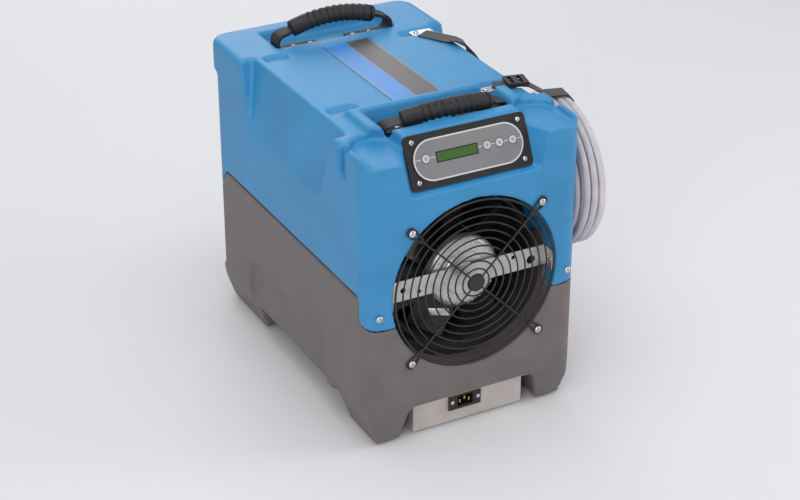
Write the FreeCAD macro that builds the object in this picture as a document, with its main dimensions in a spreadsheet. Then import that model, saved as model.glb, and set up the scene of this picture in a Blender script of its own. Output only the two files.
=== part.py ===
import FreeCAD, Part
import math
import os
import re
import Sketcher

# Portable dehumidifier for drying buildings: a two-part moulded housing on four feet, with an
# axial fan behind a wire guard, a control panel, two strap handles, a coiled drain hose and,
# inside, a rotary compressor with its coils.  X is the width, the fan faces -Y, Z is up, and
# the origin is on the floor under the middle.

V = FreeCAD.Vector
doc = FreeCAD.newDocument("Dehumidifier")
sheet = doc.addObject("Spreadsheet::Sheet", "Sizes")

SIZES = {
    # housing
    "housing_width": 325, "front_face": -250, "rear_face": 240, "rear_lip_reach": 12,
    "rear_lip": "=rear_face + rear_lip_reach",
    "deck_height": 427, "housing_wall": 5, "corner_radius": 28, "edge_radius": 10,
    "side_split": 228, "front_split": 184.5, "rear_split": 195, "seam_gap": 0.6,
    "skirt_height": 45, "foot_top": 64, "foot_bottom": 3, "front_foot_rear": -146,
    "rear_foot_front": 104, "foot_inside": 93, "foot_taper": 15, "partition_front": -166,
    "arch_top": 122, "arch_front": -124, "arch_rear": 128, "arch_depth": 5, "arch_radius": 25,
    "lip_bottom": 380, "bumper_bottom": 52, "bumper_top": 116, "bumper_reach": 16,
    "bumper_rear": "=rear_face + bumper_reach",
    "recess_bottom": 324, "recess_deck_front": -152, "recess_deck_rear": 138,
    "recess_low_front": -116, "recess_low_rear": 106, "recess_depth": 23.5,
    "pocket_radius": 32, "pocket_depth": 9, "pocket_centre": 120, "pocket_row": -195,
    "groove_front": -193, "groove_rear": -175, "groove_bottom": 384, "groove_depth": 11,
    "brow_height": 9, "brow_front": -222, "brow_rear": -100, "brow_half": 112,
    "cutout_half": 92.5, "cutout_top": 53, "hold_play": 0.3,
    # fan end
    "fan_height": 222, "fan_opening": 124, "tunnel_depth": 34, "guard_wire": 1.4,
    "guard_ear": 97.3, "ear_loop": 6, "guard_outer_ring": 120.6, "bar_height": 30,
    "bar_thickness": 2, "bar_front": -225, "motor_radius": 52, "motor_length": 18,
    "impeller_radius": 103, "hub_radius": 49, "hub_length": 36, "ring_inside": 106,
    "ring_outside": 110.7, "ring_front": -208, "fan_shaft_radius": 4, "shaft_play": 0.04,
    # control panel
    "panel_tilt": 25.5, "panel_row": -225.1, "panel_height": 402.95, "panel_half": 90,
    "panel_half_slope": 35.8, "bezel_thickness": 4, "button_radius": 6.5,
    "window_half": 74, "window_half_slope": 22,
    # handles
    "handle_floor": 412, "front_handle_row": -142, "rear_handle_row": 173,
    "front_handle_recess": -146, "rear_handle_recess": 187, "handle_recess_half": 98,
    "handle_recess_reach": 37, "strap_width": 24, "strap_thickness": 4.5, "strap_rest": 0.1,
    "grip_half": 65,
    "front_handle_lean": 45, "rear_handle_lean": 0,
    "grip_apex": 455, "grip_end": 444, "grip_radius": 12.5, "loop_half": 92.4, "foot_tip": 24,
    # hose
    "hose_diameter": 9.5, "coil_middle_x": 186.4, "coil_row": -132, "coil_height": 297,
    "coil_radius": 84, "coil_half_width": 23, "coil_half_depth": 25, "band_width": 25,
    "band_thickness": 1.6, "barb_row": 60, "barb_height": 100,
    # base and cooling circuit
    "pan_half": 85, "pan_front": -234, "pan_rear": 215, "pan_bottom": 3.5, "pan_wall": 1.5,
    "pan_flange": 18, "inlet_x": -6, "inlet_height": 34, "compressor_row": -72,
    "shell_radius": 58, "shell_wall": 3, "shell_bottom": 40, "shell_top": 215,
    "cylinder_radius": 27, "cylinder_bottom": 78, "cylinder_height": 20, "crank_radius": 8,
    "crank_throw": 4.6, "crank_eccentric": 13, "piston_radius": 22, "rotor_radius": 29.6,
    "stator_bore": 30.2, "stator_bottom": 145, "stator_height": 48, "coil_pack_half": 138,
    "evaporator_row": 160, "condenser_row": 95, "coil_pack_depth": 42,
    "coil_pack_height": 300, "accumulator_x": 78,
    "accumulator_row": -38, "foot_circle": 78, "filter_half": 118, "filter_bottom": 205,
    "filter_top": 372,
    "filter_depth": 20, "label_half": 38, "label_front": -93, "label_rear": 128,
}
for line, (word, number) in enumerate(SIZES.items(), start=1):
    sheet.set(f"A{line}", word)
    sheet.set(f"B{line}", str(number))
    sheet.setAlias(f"B{line}", word)
doc.recompute()


def formula(text):
    """The sheet's aliases in a formula, written the way an expression names them."""
    return re.sub(r"[a-z][a-z_0-9]*",
                  lambda m: "Sizes." + m.group() if m.group() in SIZES else m.group(), str(text))


def worth(text):
    """The number that a formula gives now."""
    return float(sheet.evalExpression(formula(text)))


def move(thing, x=0, y=0, z=0, turn=None):
    """Place a thing, with each coordinate bound to its formula."""
    rotation = turn if turn else FreeCAD.Rotation()
    thing.Placement = FreeCAD.Placement(V(worth(x), worth(y), worth(z)), rotation)
    for letter, text in (("x", x), ("y", y), ("z", z)):
        if re.search("[a-z]", str(text)):
            thing.setExpression(f"Placement.Base.{letter}", formula(text))
    return thing


ALONG_X = FreeCAD.Rotation(V(0, 1, 0), 90)
ALONG_Y = FreeCAD.Rotation(V(1, 0, 0), -90)
AGAINST_Y = FreeCAD.Rotation(V(1, 0, 0), 90)


def block(name, x, y, z):
    """A box from its low and high corner in each direction."""
    box = doc.addObject("Part::Box", name)
    for side, span in (("Length", x), ("Width", y), ("Height", z)):
        box.setExpression(side, formula(f"({span[1]}) - ({span[0]})"))
    return move(box, x[0], y[0], z[0])


def rod(name, radius, length, x=0, y=0, z=0, turn=None):
    """A cylinder that starts at a point and runs along the turned Z axis."""
    cylinder = doc.addObject("Part::Cylinder", name)
    cylinder.setExpression("Radius", formula(radius))
    cylinder.setExpression("Height", formula(length))
    return move(cylinder, x, y, z, turn)


def hoop(name, radius, wire, x=0, y=0, z=0, turn=None):
    """A ring of round wire."""
    torus = doc.addObject("Part::Torus", name)
    torus.setExpression("Radius1", formula(radius))
    torus.setExpression("Radius2", formula(wire))
    return move(torus, x, y, z, turn)


def tapered(name, low_x, low_y, high_x, high_y, z):
    """A block whose top and bottom rectangles differ, as in a foot or a recess."""
    wedge = doc.addObject("Part::Wedge", name)
    spans = {"Xmin": low_x[0], "Xmax": low_x[1], "Zmin": low_y[0], "Zmax": low_y[1],
             "X2min": high_x[0], "X2max": high_x[1], "Z2min": high_y[0], "Z2max": high_y[1],
             "Ymin": z[0], "Ymax": z[1]}
    # the wedge grows along its own Y, so its Z runs against the frame's Y
    spans["Zmin"], spans["Zmax"] = f"-({low_y[1]})", f"-({low_y[0]})"
    spans["Z2min"], spans["Z2max"] = f"-({high_y[1]})", f"-({high_y[0]})"
    for side, text in spans.items():
        wedge.setExpression(side, formula(text))
    wedge.Placement = FreeCAD.Placement(V(), AGAINST_Y)
    return wedge


def joined(name, things):
    """One fused solid, or a group of separate ones where they don't touch."""
    if len(things) == 1:
        return things[0]
    fusion = doc.addObject("Part::MultiFuse", name)
    fusion.Shapes = things
    return fusion


def carved(name, blank, tools):
    """A blank with every tool cut from it."""
    cutting = doc.addObject("Part::Cut", name)
    cutting.Base = blank
    cutting.Tool = joined(name + "_tools", tools)
    return cutting


def overlap(name, first, second):
    common = doc.addObject("Part::Common", name)
    common.Base = first
    common.Tool = second
    return common


def group(name, things):
    """Like pieces that share one node as separate solids."""
    compound = doc.addObject("Part::Compound", name)
    compound.Links = things
    return compound


def softened(name, blank, radius_of):
    """Fillets on the edges for which radius_of(edge) gives a radius."""
    doc.recompute()
    fillet = doc.addObject("Part::Fillet", name)
    fillet.Base = blank
    found = [(i, radius_of(e)) for i, e in enumerate(blank.Shape.Edges, start=1)]
    fillet.Edges = [(i, radius, radius) for i, radius in found if radius > 0]
    return fillet


def runs_along(edge, axis):
    first, last = edge.Vertexes[0].Point, edge.Vertexes[-1].Point
    way = last - first
    return way.Length > 1e-6 and abs(abs(way[axis]) - way.Length) < 1e-6


def column(name, x, y, z, corner, top=0):
    """A box with rounded upright edges and, where asked, a rounded top rim."""
    blank = block(name + "_box", x, y, z)
    corner_size, top_size, top_height = worth(corner), worth(top), worth(z[1])

    def radius_of(edge):
        if runs_along(edge, 2):
            return corner_size
        low = min(vertex.Point.z for vertex in edge.Vertexes)
        return top_size if low > top_height - 1e-6 else 0
    return softened(name, blank, radius_of)


def drawn(name, plane, corners):
    """A body and its closed outline, every corner bound to the sheet."""
    body = doc.addObject("PartDesign::Body", name)
    sketch = body.newObject("Sketcher::SketchObject", name + "_outline")
    for feature in body.Origin.OriginFeatures:
        if feature.Role == plane:
            sketch.AttachmentSupport = [(feature, "")]
    sketch.MapMode = "FlatFace"
    places = [V(worth(u), worth(v), 0) for u, v in corners]
    for here, there in zip(places, places[1:] + places[:1]):
        sketch.addGeometry(Part.LineSegment(here, there), False)
    last = len(corners) - 1
    for i in range(len(corners)):
        sketch.addConstraint(Sketcher.Constraint("Coincident", i, 2, 0 if i == last else i + 1, 1))
    for i, corner in enumerate(corners):
        for kind, text in zip(("DistanceX", "DistanceY"), corner):
            rule = sketch.addConstraint(Sketcher.Constraint(kind, -1, 1, i, 1, worth(text)))
            sketch.setExpression(f"Constraints[{rule}]", formula(text))
    return body, sketch


def turned(name, profile, x=0, y=0, z=0, turn=None):
    """A piece turned on a lathe: profile gives radius and place along the axis."""
    body, sketch = drawn(name, "XZ_Plane", profile)
    lathe = body.newObject("PartDesign::Revolution", name + "_turning")
    lathe.Profile = sketch
    lathe.ReferenceAxis = (sketch, ["V_Axis"])
    lathe.Angle = 360
    return move(body, x, y, z, turn)


def slab(name, plane, corners, thickness, x=0, y=0, z=0, turn=None, both_ways=False):
    """A piece cut from plate along an outline."""
    body, sketch = drawn(name, plane, corners)
    pad = body.newObject("PartDesign::Pad", name + "_pad")
    pad.Profile = sketch
    pad.setExpression("Length", formula(thickness))
    pad.Midplane = both_ways
    return move(body, x, y, z, turn)


def washer(name, inside, outside, length, x=0, y=0, z=0, turn=None):
    profile = [(inside, 0), (outside, 0), (outside, length), (inside, length)]
    return turned(name, profile, x, y, z, turn)


NODES = []


def keep(thing, node):
    """Name a finished sub-part."""
    thing.Label = node
    NODES.append(thing)
    return thing


def screw(name, x, y, z, turn, head=3.6, head_height=2.4, shank=1.9, length=9):
    """A pan head screw whose head sits on the point and whose shank runs down the turned -Z."""
    profile = [(0, -length), (shank, -length), (shank, 0), (head, 0), (head, head_height * 0.45),
               (head * 0.55, head_height), (0, head_height)]
    return turned(name, profile, x, y, z, turn)


def screw_hole(name, x, y, z, turn, shank=1.9, length=12):
    """The hole for a screw's shank, a clearance wider than the shank."""
    hole = rod(name, f"{shank} + hold_play", length, 0, 0, -length)
    base = V(worth(x), worth(y), worth(z))
    hole.Placement = FreeCAD.Placement(base + turn.multVec(V(0, 0, -length)), turn)
    shift = turn.multVec(V(0, 0, -length))
    for letter, text, step in zip("xyz", (x, y, z), shift):
        hole.setExpression(f"Placement.Base.{letter}", formula(f"{text} + ({step:.6f})"))
    return hole


# ---- both housings: shared cutters ----
SIDE = "housing_width / 2"


def split_region(name, below, shift):
    """Everything below or above the stepped parting line, moved up or down by half a seam."""
    line = [("-400", f"front_split + {shift}"), ("front_face + 11", f"front_split + {shift}"),
            ("front_face + 21", f"front_split + 5 + {shift}"),
            ("front_face + 26", f"front_split + 15 + {shift}"),
            ("front_face + 27", f"side_split + {shift}"),
            ("rear_face - 38", f"side_split + {shift}"),
            ("rear_face - 12", f"rear_split + {shift}"), ("400", f"rear_split + {shift}")]
    end = "-100" if below else "700"
    return slab(name, "YZ_Plane", line + [("400", end), ("-400", end)], "housing_width + 40",
                both_ways=True)


def side_recess(name, side, grow):
    """The scooped side where the hose coil rests: a plane that leans in towards the deck."""
    out = f"{side} * ({SIDE} + 30)"
    low_in = f"{side} * ({SIDE} - {grow})"
    high_in = f"{side} * ({SIDE} - recess_depth - {grow})"
    low = (low_in, out) if side > 0 else (out, low_in)
    high = (high_in, out) if side > 0 else (out, high_in)
    return tapered(name, low, (f"recess_low_front - {grow}", f"recess_low_rear + {grow}"), high,
                   (f"recess_deck_front - {grow}", f"recess_deck_rear + {grow}"),
                   (f"recess_bottom - {grow}", "deck_height"))


def handle_recess(name, row, grow):
    """The well in the deck that a handle folds into, with drafted walls."""
    half, reach = f"handle_recess_half + {grow}", f"handle_recess_reach + {grow}"
    return tapered(name, (f"9 - ({half})", f"({half}) - 9"),
                   (f"{row} + 9 - ({reach})", f"{row} - 9 + {reach}"),
                   (f"0 - ({half})", half), (f"{row} - ({reach})", f"{row} + {reach}"),
                   (f"handle_floor - {grow}", "deck_height + brow_height + 1"))


def panel_placement():
    return FreeCAD.Rotation(V(1, 0, 0), 90 - worth("panel_tilt"))


def on_panel(thing):
    """Carry a piece drawn flat into the panel's tilted plane."""
    local = thing.Placement
    plane = FreeCAD.Placement(V(0, worth("panel_row"), worth("panel_height")), panel_placement())
    for path in ("Placement.Base.x", "Placement.Base.y", "Placement.Base.z"):
        thing.setExpression(path, None)
    thing.Placement = plane.multiply(local)
    return thing


def panel_recess(name, grow):
    """The sloped well round the control panel, wider towards the front."""
    half, slope = f"panel_half + 1 + {grow}", f"panel_half_slope + 1 + {grow}"
    wedge = tapered(name, (f"0 - ({half})", half), (f"0 - ({slope})", slope),
                    (f"-38 - ({half})", f"38 + {half}"), (f"-38 - ({slope})", f"38 + {slope}"),
                    (f"0 - bezel_thickness - {grow}", "66"))
    return on_panel(wedge)


def tunnel(name, grow, depth):
    return rod(name, f"fan_opening + {grow}", depth, 0, "front_face - 1", "fan_height", ALONG_Y)


def filter_pocket(name, grow):
    edge = f"{grow}"
    return column(name, (f"-filter_half - {edge}", f"filter_half + {edge}"),
                  (f"rear_face - filter_depth - 1 - {grow}", "rear_face + 30"),
                  (f"filter_bottom - {edge}", f"filter_top + {edge}"), "1")


def ear_places():
    for sign_x in (-1, 1):
        for sign_z in (-1, 1):
            yield sign_x, sign_z, f"{sign_x} * guard_ear", f"fan_height + {sign_z} * guard_ear"


def chambers(name, bottom, top):
    """The hollow inside a housing, in two rooms with the fan's partition between them."""
    span = (f"housing_wall - {SIDE}", f"{SIDE} - housing_wall")
    front = column(name + "_front", span, ("front_face + housing_wall", "partition_front"),
                   (bottom, top), "corner_radius - housing_wall", "3")
    rear = column(name + "_rear", span, ("partition_front + housing_wall",
                  "rear_face - housing_wall"), (bottom, top), "corner_radius - housing_wall", "3")
    return [front, rear]


partition_hole = ("ring_outside + 0.5", "housing_wall + 6", 0, "partition_front - 3",
                  "fan_height", ALONG_Y)

# ---- upper housing ----
upper_blank = column("upper_blank", (f"0 - {SIDE}", SIDE), ("front_face", "rear_face"),
                     ("front_split - 5", "deck_height"), "corner_radius", "edge_radius")
rear_ledge = column("rear_ledge", (f"0 - {SIDE}", SIDE), ("rear_face - 60", "rear_lip"),
                    ("lip_bottom", "deck_height"), "corner_radius", "edge_radius")
brow = tapered("brow", ("-brow_half - 12", "brow_half + 12"),
               ("brow_front - 12", "brow_rear + 16"), ("-brow_half", "brow_half"),
               ("brow_front", "brow_rear"), ("deck_height - 12", "deck_height + brow_height"))
upper_outside = joined("upper_outside", [upper_blank, rear_ledge, brow])

upper_tools = [split_region("below_the_seam", True, "seam_gap / 2"),
               tunnel("upper_tunnel", 0, "tunnel_depth + 12"), panel_recess("panel_well", 0),
               handle_recess("front_well", "front_handle_recess", 0),
               handle_recess("rear_well", "rear_handle_recess", 0),
               rod("upper_partition_hole", *partition_hole), filter_pocket("filter_pocket", 0)]
void_limits = [tunnel("upper_tunnel_wall", "housing_wall", "tunnel_depth + 1"),
               panel_recess("panel_well_wall", "housing_wall"),
               handle_recess("front_well_wall", "front_handle_recess", "housing_wall"),
               handle_recess("rear_well_wall", "rear_handle_recess", "housing_wall"),
               filter_pocket("filter_pocket_wall", "housing_wall")]
for side, word in ((-1, "left"), (1, "right")):
    upper_tools.append(side_recess(word + "_scoop", side, "0"))
    void_limits.append(side_recess(word + "_scoop_wall", side, "housing_wall"))
    for grow, shelf in (("0", upper_tools), ("housing_wall", void_limits)):
        tag = "" if grow == "0" else "_wall"
        middle = f"{side} * pocket_centre"
        shelf.append(rod(f"{word}_pocket{tag}", f"pocket_radius + {grow}", "60", middle,
                         "pocket_row", f"deck_height - pocket_depth - {grow}"))
        shelf.append(block(f"{word}_pocket_mouth{tag}",
                           (f"{middle} - pocket_radius - {grow}",
                            f"{middle} + pocket_radius + {grow}"),
                           ("front_face - 20", "pocket_row"),
                           (f"deck_height - pocket_depth - {grow}", "deck_height + 40")))
        inner, outer = f"{side} * ({SIDE} - groove_depth - {grow})", f"{side} * ({SIDE} + 9)"
        span = (inner, outer) if side > 0 else (outer, inner)
        shelf.append(block(f"{word}_groove{tag}", span,
                           (f"groove_front - {grow}", f"groove_rear + {grow}"),
                           (f"groove_bottom - {grow}", "deck_height + 9")))
DECK_POCKETS = (("left_front", -128, -88, -78, 9), ("left_rear", -128, -93, 124, 9),
                ("right_front", 84, 150, -107, 16), ("right_rear", 84, 150, 118, 9))
for word, x_low, x_high, row, reach in DECK_POCKETS:
    for grow, shelf in ((0, upper_tools), (5, void_limits)):
        tag = "_wall" if grow else ""
        shelf.append(block(f"{word}_anchor_pocket{tag}", (x_low - grow, x_high + grow),
                           (row - reach - grow, row + reach + grow),
                           (f"deck_height - 5 - {grow}", "deck_height + 9")))
# on the hose side both webbing bands pass between the coil and the housing
BAND_RELIEFS = (("front", 9, -144, -108, 343, 400), ("rear", 5, -90, -30, 312, 350))
for word, reach, y_low, y_high, z_low, z_high in BAND_RELIEFS:
    for grow, shelf in (("0", upper_tools), ("housing_wall", void_limits)):
        shelf.append(block(f"{word}_band_relief_{grow}",
                           (f"{SIDE} - {reach} - {grow}", f"{SIDE} + 9"),
                           (f"{y_low} - {grow}", f"{y_high} + {grow}"),
                           (f"{z_low} - {grow}", f"{z_high} + {grow}")))
upper_void = carved("upper_void", joined("upper_rooms", chambers(
    "upper_room", "front_split - 30", "deck_height - housing_wall")), void_limits)
ledge_hollow = block("ledge_hollow", (f"40 - {SIDE}", f"{SIDE} - 40"),
                     ("rear_face - 12", "rear_lip - housing_wall"),
                     ("lip_bottom + housing_wall", "handle_floor - 12"))

window = on_panel(block("panel_window", ("-window_half", "window_half"),
                        ("-window_half_slope", "window_half_slope"), ("-40", "5")))
air_way = block("air_way", ("8 - filter_half", "filter_half - 8"),
                ("rear_face - filter_depth - 20", "rear_face"),
                ("filter_bottom + 8", "filter_top - 8"))

PANEL_SCREWS = [(sign * 78.5, height) for sign in (-1, 1) for height in (26.7, -25.8)]
HANDLE_SCREW_PLACES = (-61, -34, 34, 61)
HANDLE_SCREWS = [(x, row) for row in ("front_handle_row", "rear_handle_row")
                 for x in HANDLE_SCREW_PLACES]
ANCHORS = [("front", 93, "-107"), ("rear", 108, "118")]
HOUSING_SCREWS = [(sign * 143.4, "front_face", 204, AGAINST_Y) for sign in (-1, 1)] + [
    (sign * 130, "rear_face", 211, ALONG_Y) for sign in (-1, 1)]

holes = [on_panel(screw_hole(f"panel_hole_{i}", x, y, 0, FreeCAD.Rotation()))
         for i, (x, y) in enumerate(PANEL_SCREWS)]
holes += [screw_hole(f"handle_hole_{i}", x, row, "handle_floor + strap_thickness",
                     FreeCAD.Rotation()) for i, (x, row) in enumerate(HANDLE_SCREWS)]
holes += [screw_hole(f"anchor_hole_{word}", x, y, "deck_height - 2", FreeCAD.Rotation())
          for word, x, y in ANCHORS]
holes += [screw_hole(f"upper_ear_hole_{i}", x, "front_face - 3", z, AGAINST_Y)
          for i, (sx, sz, x, z) in enumerate(ear_places()) if sz > 0]
holes += [screw_hole(f"bar_hole_{i}", f"{sign} * (fan_opening - 3.4)", "front_face + 12",
                     "fan_height", FreeCAD.Rotation(V(0, 1, 0), -90 * sign))
          for i, sign in enumerate((-1, 1))]
holes += [screw_hole(f"seam_hole_{i}", x, y, z, turn)
          for i, (x, y, z, turn) in enumerate(HOUSING_SCREWS)]
upper_housing = carved("upper_housing_cut", upper_outside,
                       upper_tools + [upper_void, ledge_hollow, window, air_way] + holes)
keep(upper_housing, "upper_housing")

# ---- lower housing ----
lower_blank = column("lower_blank", (f"0 - {SIDE}", SIDE), ("front_face", "rear_face"),
                     ("skirt_height", "side_split + 5"), "corner_radius")
foot_zones = []
feet = []
foot_hollows = []
for side, word in ((-1, "left"), (1, "right")):
    for end, near, far in (("front", "front_face", "front_foot_rear"),
                           ("rear", "rear_face + 6", "rear_foot_front")):
        low, high = (near, far) if end == "front" else (far, near)
        zone_x = [f"{side} * foot_inside", f"{side} * ({SIDE})"]
        low_x = [f"{side} * (foot_inside + foot_taper)", f"{side} * ({SIDE} - foot_taper - 4)"]
        hollow_x = [f"{side} * (foot_inside + housing_wall)", f"{side} * ({SIDE} - housing_wall - 2)"]
        hollow_low = [f"{side} * (foot_inside + foot_taper + housing_wall)",
                      f"{side} * ({SIDE} - foot_taper - 4 - housing_wall)"]
        if side < 0:
            for pair in (zone_x, low_x, hollow_x, hollow_low):
                pair.reverse()
        foot_zones.append(block(f"{word}_{end}_zone",
                                (f"{zone_x[0]} - {9 if side < 0 else 0}",
                                 f"{zone_x[1]} + {9 if side > 0 else 0}"),
                                (f"{low} - {9 if end == 'front' else 0}",
                                 f"{high} + {9 if end == 'rear' else 0}"), ("0", "foot_top")))
        feet.append(tapered(f"{word}_{end}_foot", low_x,
                            (f"{low} + 12", f"{high} - 12"), zone_x, (low, high),
                            ("foot_bottom", "foot_top")))
        foot_hollows.append(tapered(
            f"{word}_{end}_foot_hollow", hollow_low,
            (f"{low} + 12 + housing_wall", f"{high} - 12 - housing_wall"), hollow_x,
            (f"{low} + housing_wall", f"{high} - housing_wall"),
            ("foot_bottom + housing_wall", "foot_top + 6")))
foot_core = column("foot_core", (f"housing_wall - {SIDE}", f"{SIDE} - housing_wall"),
                   ("front_face + housing_wall", "rear_face + 6 - housing_wall"),
                   ("0", "foot_top + 9"), "corner_radius - housing_wall")
foot_hollow = overlap("foot_hollow", joined("all_foot_hollows", foot_hollows), foot_core)
foot_column = column("foot_column", (f"0 - {SIDE}", SIDE), ("front_face", "rear_face + 6"),
                     ("0", "foot_top"), "corner_radius")
lower_body = joined("lower_body", [
    carved("tub", lower_blank, foot_zones),
    overlap("rounded_feet", joined("all_feet", feet), foot_column)])
bumpers = []
for side, word in ((-1, "left"), (1, "right")):
    span = ("104", "146") if side > 0 else ("-146", "-104")
    bumpers.append(column(f"{word}_bumper", span, ("rear_face - 3", "bumper_rear"),
                          ("bumper_bottom", "bumper_top"), "5", "4"))
lower_outside = joined("lower_outside", [lower_body] + bumpers)

arches = {}
for grow in ("0", "housing_wall"):
    for side, word in ((-1, "left"), (1, "right")):
        inner = f"{side} * ({SIDE} - arch_depth - {grow})"
        outer = f"{side} * ({SIDE} + 9)"
        blank = block(f"{word}_arch_box_{grow}", (inner, outer) if side > 0 else (outer, inner),
                      (f"arch_front - {grow}", f"arch_rear + {grow}"),
                      ("10", f"arch_top + {grow}"))
        round_size, height = worth("arch_radius"), worth(f"arch_top + {grow}")
        arches[grow, side] = softened(
            f"{word}_arch_{grow}", blank, lambda edge: round_size if runs_along(edge, 0)
            and edge.Vertexes[0].Point.z > height - 1e-6 else 0)
lower_rooms = chambers("lower_room", "skirt_height + housing_wall", "side_split + 40")
lower_void = carved("lower_void", joined("lower_rooms", lower_rooms),
                    [arches["housing_wall", -1], arches["housing_wall", 1],
                     tunnel("lower_tunnel_wall", "housing_wall", "tunnel_depth + 1")])
pan_hole = block("pan_hole", ("-pan_half - 0.5", "pan_half + 0.5"),
                 ("pan_front - 0.5", "pan_rear + 0.5"), ("0", "skirt_height + 9"))
front_cutout = block("front_cutout", ("-cutout_half", "cutout_half"),
                     ("front_face - 9", "pan_front"), ("-9", "cutout_top"))
rim_notch = block("rim_notch", ("-pan_half - pan_flange - 0.5", "pan_half + pan_flange + 0.5"),
                  ("partition_front - 2", "partition_front + housing_wall + 2"),
                  ("skirt_height", "skirt_height + housing_wall + pan_wall + 1"))
rear_relief = block("rear_relief", ("-cutout_half", "cutout_half"),
                    ("rear_face - housing_wall", "rear_face + 30"), ("-9", "skirt_height"))
barb_hole = rod("barb_hole", "8.3", "30", f"{SIDE} - 20", "barb_row", "barb_height", ALONG_X)
lower_holes = [screw_hole(f"lower_ear_hole_{i}", x, "front_face - 3", z, AGAINST_Y)
               for i, (sx, sz, x, z) in enumerate(ear_places()) if sz < 0]
lower_housing = carved("lower_housing_cut", lower_outside, [
    split_region("above_the_seam", False, "0 - seam_gap / 2"), lower_void, arches["0", -1],
    arches["0", 1], tunnel("lower_tunnel", 0, "tunnel_depth + 12"), pan_hole, front_cutout,
    rear_relief, rim_notch, barb_hole, rod("lower_partition_hole", *partition_hole)]
    + [foot_hollow] + lower_holes)
keep(lower_housing, "lower_housing")

pads = []
for sign in (-1, 1):
    for row in ("(front_face + front_foot_rear) / 2", "(rear_face + 6 + rear_foot_front) / 2"):
        pads.append(rod(f"pad_{len(pads)}", "15", "foot_bottom", f"{sign} * 126", row, 0))
keep(group("pads", pads), "foot_pads")
keep(group("seam_screws", [screw(f"seam_screw_{i}", x, y, z, turn, head=5, head_height=2.6)
                           for i, (x, y, z, turn) in enumerate(HOUSING_SCREWS)]),
     "housing_screws")

# ---- fan end ----
guard_parts = [rod("guard_disc", "13", "2", 0, "front_face - 2.6", "fan_height", ALONG_Y)]
RINGS = 9
for i in range(RINGS):
    radius = f"guard_outer_ring - {i} * (guard_outer_ring - 20) / {RINGS - 1}"
    guard_parts.append(hoop(f"guard_ring_{i}", radius, "guard_wire", 0, "front_face + 0.2",
                            "fan_height", ALONG_Y))
for sx, sz, x, z in ear_places():
    number = len(guard_parts)
    spoke = rod(f"guard_spoke_{number}", "guard_wire + 0.2",
                "guard_ear * sqrt(2) - ear_loop - 8", 0, "front_face - 1.8", "fan_height")
    lean = FreeCAD.Rotation(V(0, 0, 1), V(sx, 0, sz))
    start = lean.multVec(V(0, 0, 8))
    spoke.setExpression("Placement.Base.x", None)
    spoke.setExpression("Placement.Base.z", formula(f"fan_height + ({start.z:.4f})"))
    spoke.Placement = FreeCAD.Placement(V(start.x, worth("front_face - 1.8"), 0), lean)
    guard_parts.append(spoke)
    guard_parts.append(hoop(f"guard_loop_{number}", "ear_loop", "guard_wire + 0.2", x,
                            "front_face - 1.8", z, ALONG_Y))
keep(joined("guard", guard_parts), "fan_guard")
keep(group("ear_screws", [screw(f"ear_screw_{i}", x, "front_face - 3.3", z, AGAINST_Y,
                                head=5.2, head_height=2.7, length=11)
                          for i, (sx, sz, x, z) in enumerate(ear_places())]),
     "fan_guard_screws")

bar_half = "fan_opening - 1.4"
bar = block("bar_web", (f"0 - ({bar_half})", bar_half),
            ("bar_front", "bar_front + bar_thickness"),
            ("fan_height - bar_height / 2", "fan_height + bar_height / 2"))
tabs = []
for sign in (-1, 1):
    span = (f"{bar_half} - bar_thickness", bar_half)
    if sign < 0:
        span = (f"0 - ({bar_half})", f"bar_thickness - ({bar_half})")
    tabs.append(block(f"bar_tab_{sign + 1}", span, ("bar_front - 20", "bar_front"),
                      ("fan_height - bar_height / 2", "fan_height + bar_height / 2")))
bar_slots = [rod("bar_slot_0", "4", "20", -96, "bar_front - 9", "fan_height", ALONG_Y),
             rod("bar_slot_1", "6.5", "20", 100, "bar_front - 9", "fan_height - 3", ALONG_Y),
             rod("bar_slot_2", "3", "20", 72, "bar_front - 9", "fan_height + 7", ALONG_Y),
             rod("bar_slot_3", "3", "20", -72, "bar_front - 9", "fan_height - 7", ALONG_Y)]
tab_holes = [rod(f"tab_hole_{sign + 1}", "2.2", "20", f"{sign} * (fan_opening - 3.4) - 9",
                 "front_face + 12", "fan_height", ALONG_X) for sign in (-1, 1)]
keep(carved("bar", joined("bar_blank", [bar] + tabs), bar_slots + tab_holes), "motor_bar")
keep(group("bar_screws", [screw(f"bar_screw_{sign + 1}", f"{sign} * (fan_opening - 3.4)",
                                "front_face + 12", "fan_height",
                                FreeCAD.Rotation(V(0, 1, 0), -90 * sign), head=4.2)
                          for sign in (-1, 1)]), "motor_bar_screws")

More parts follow.
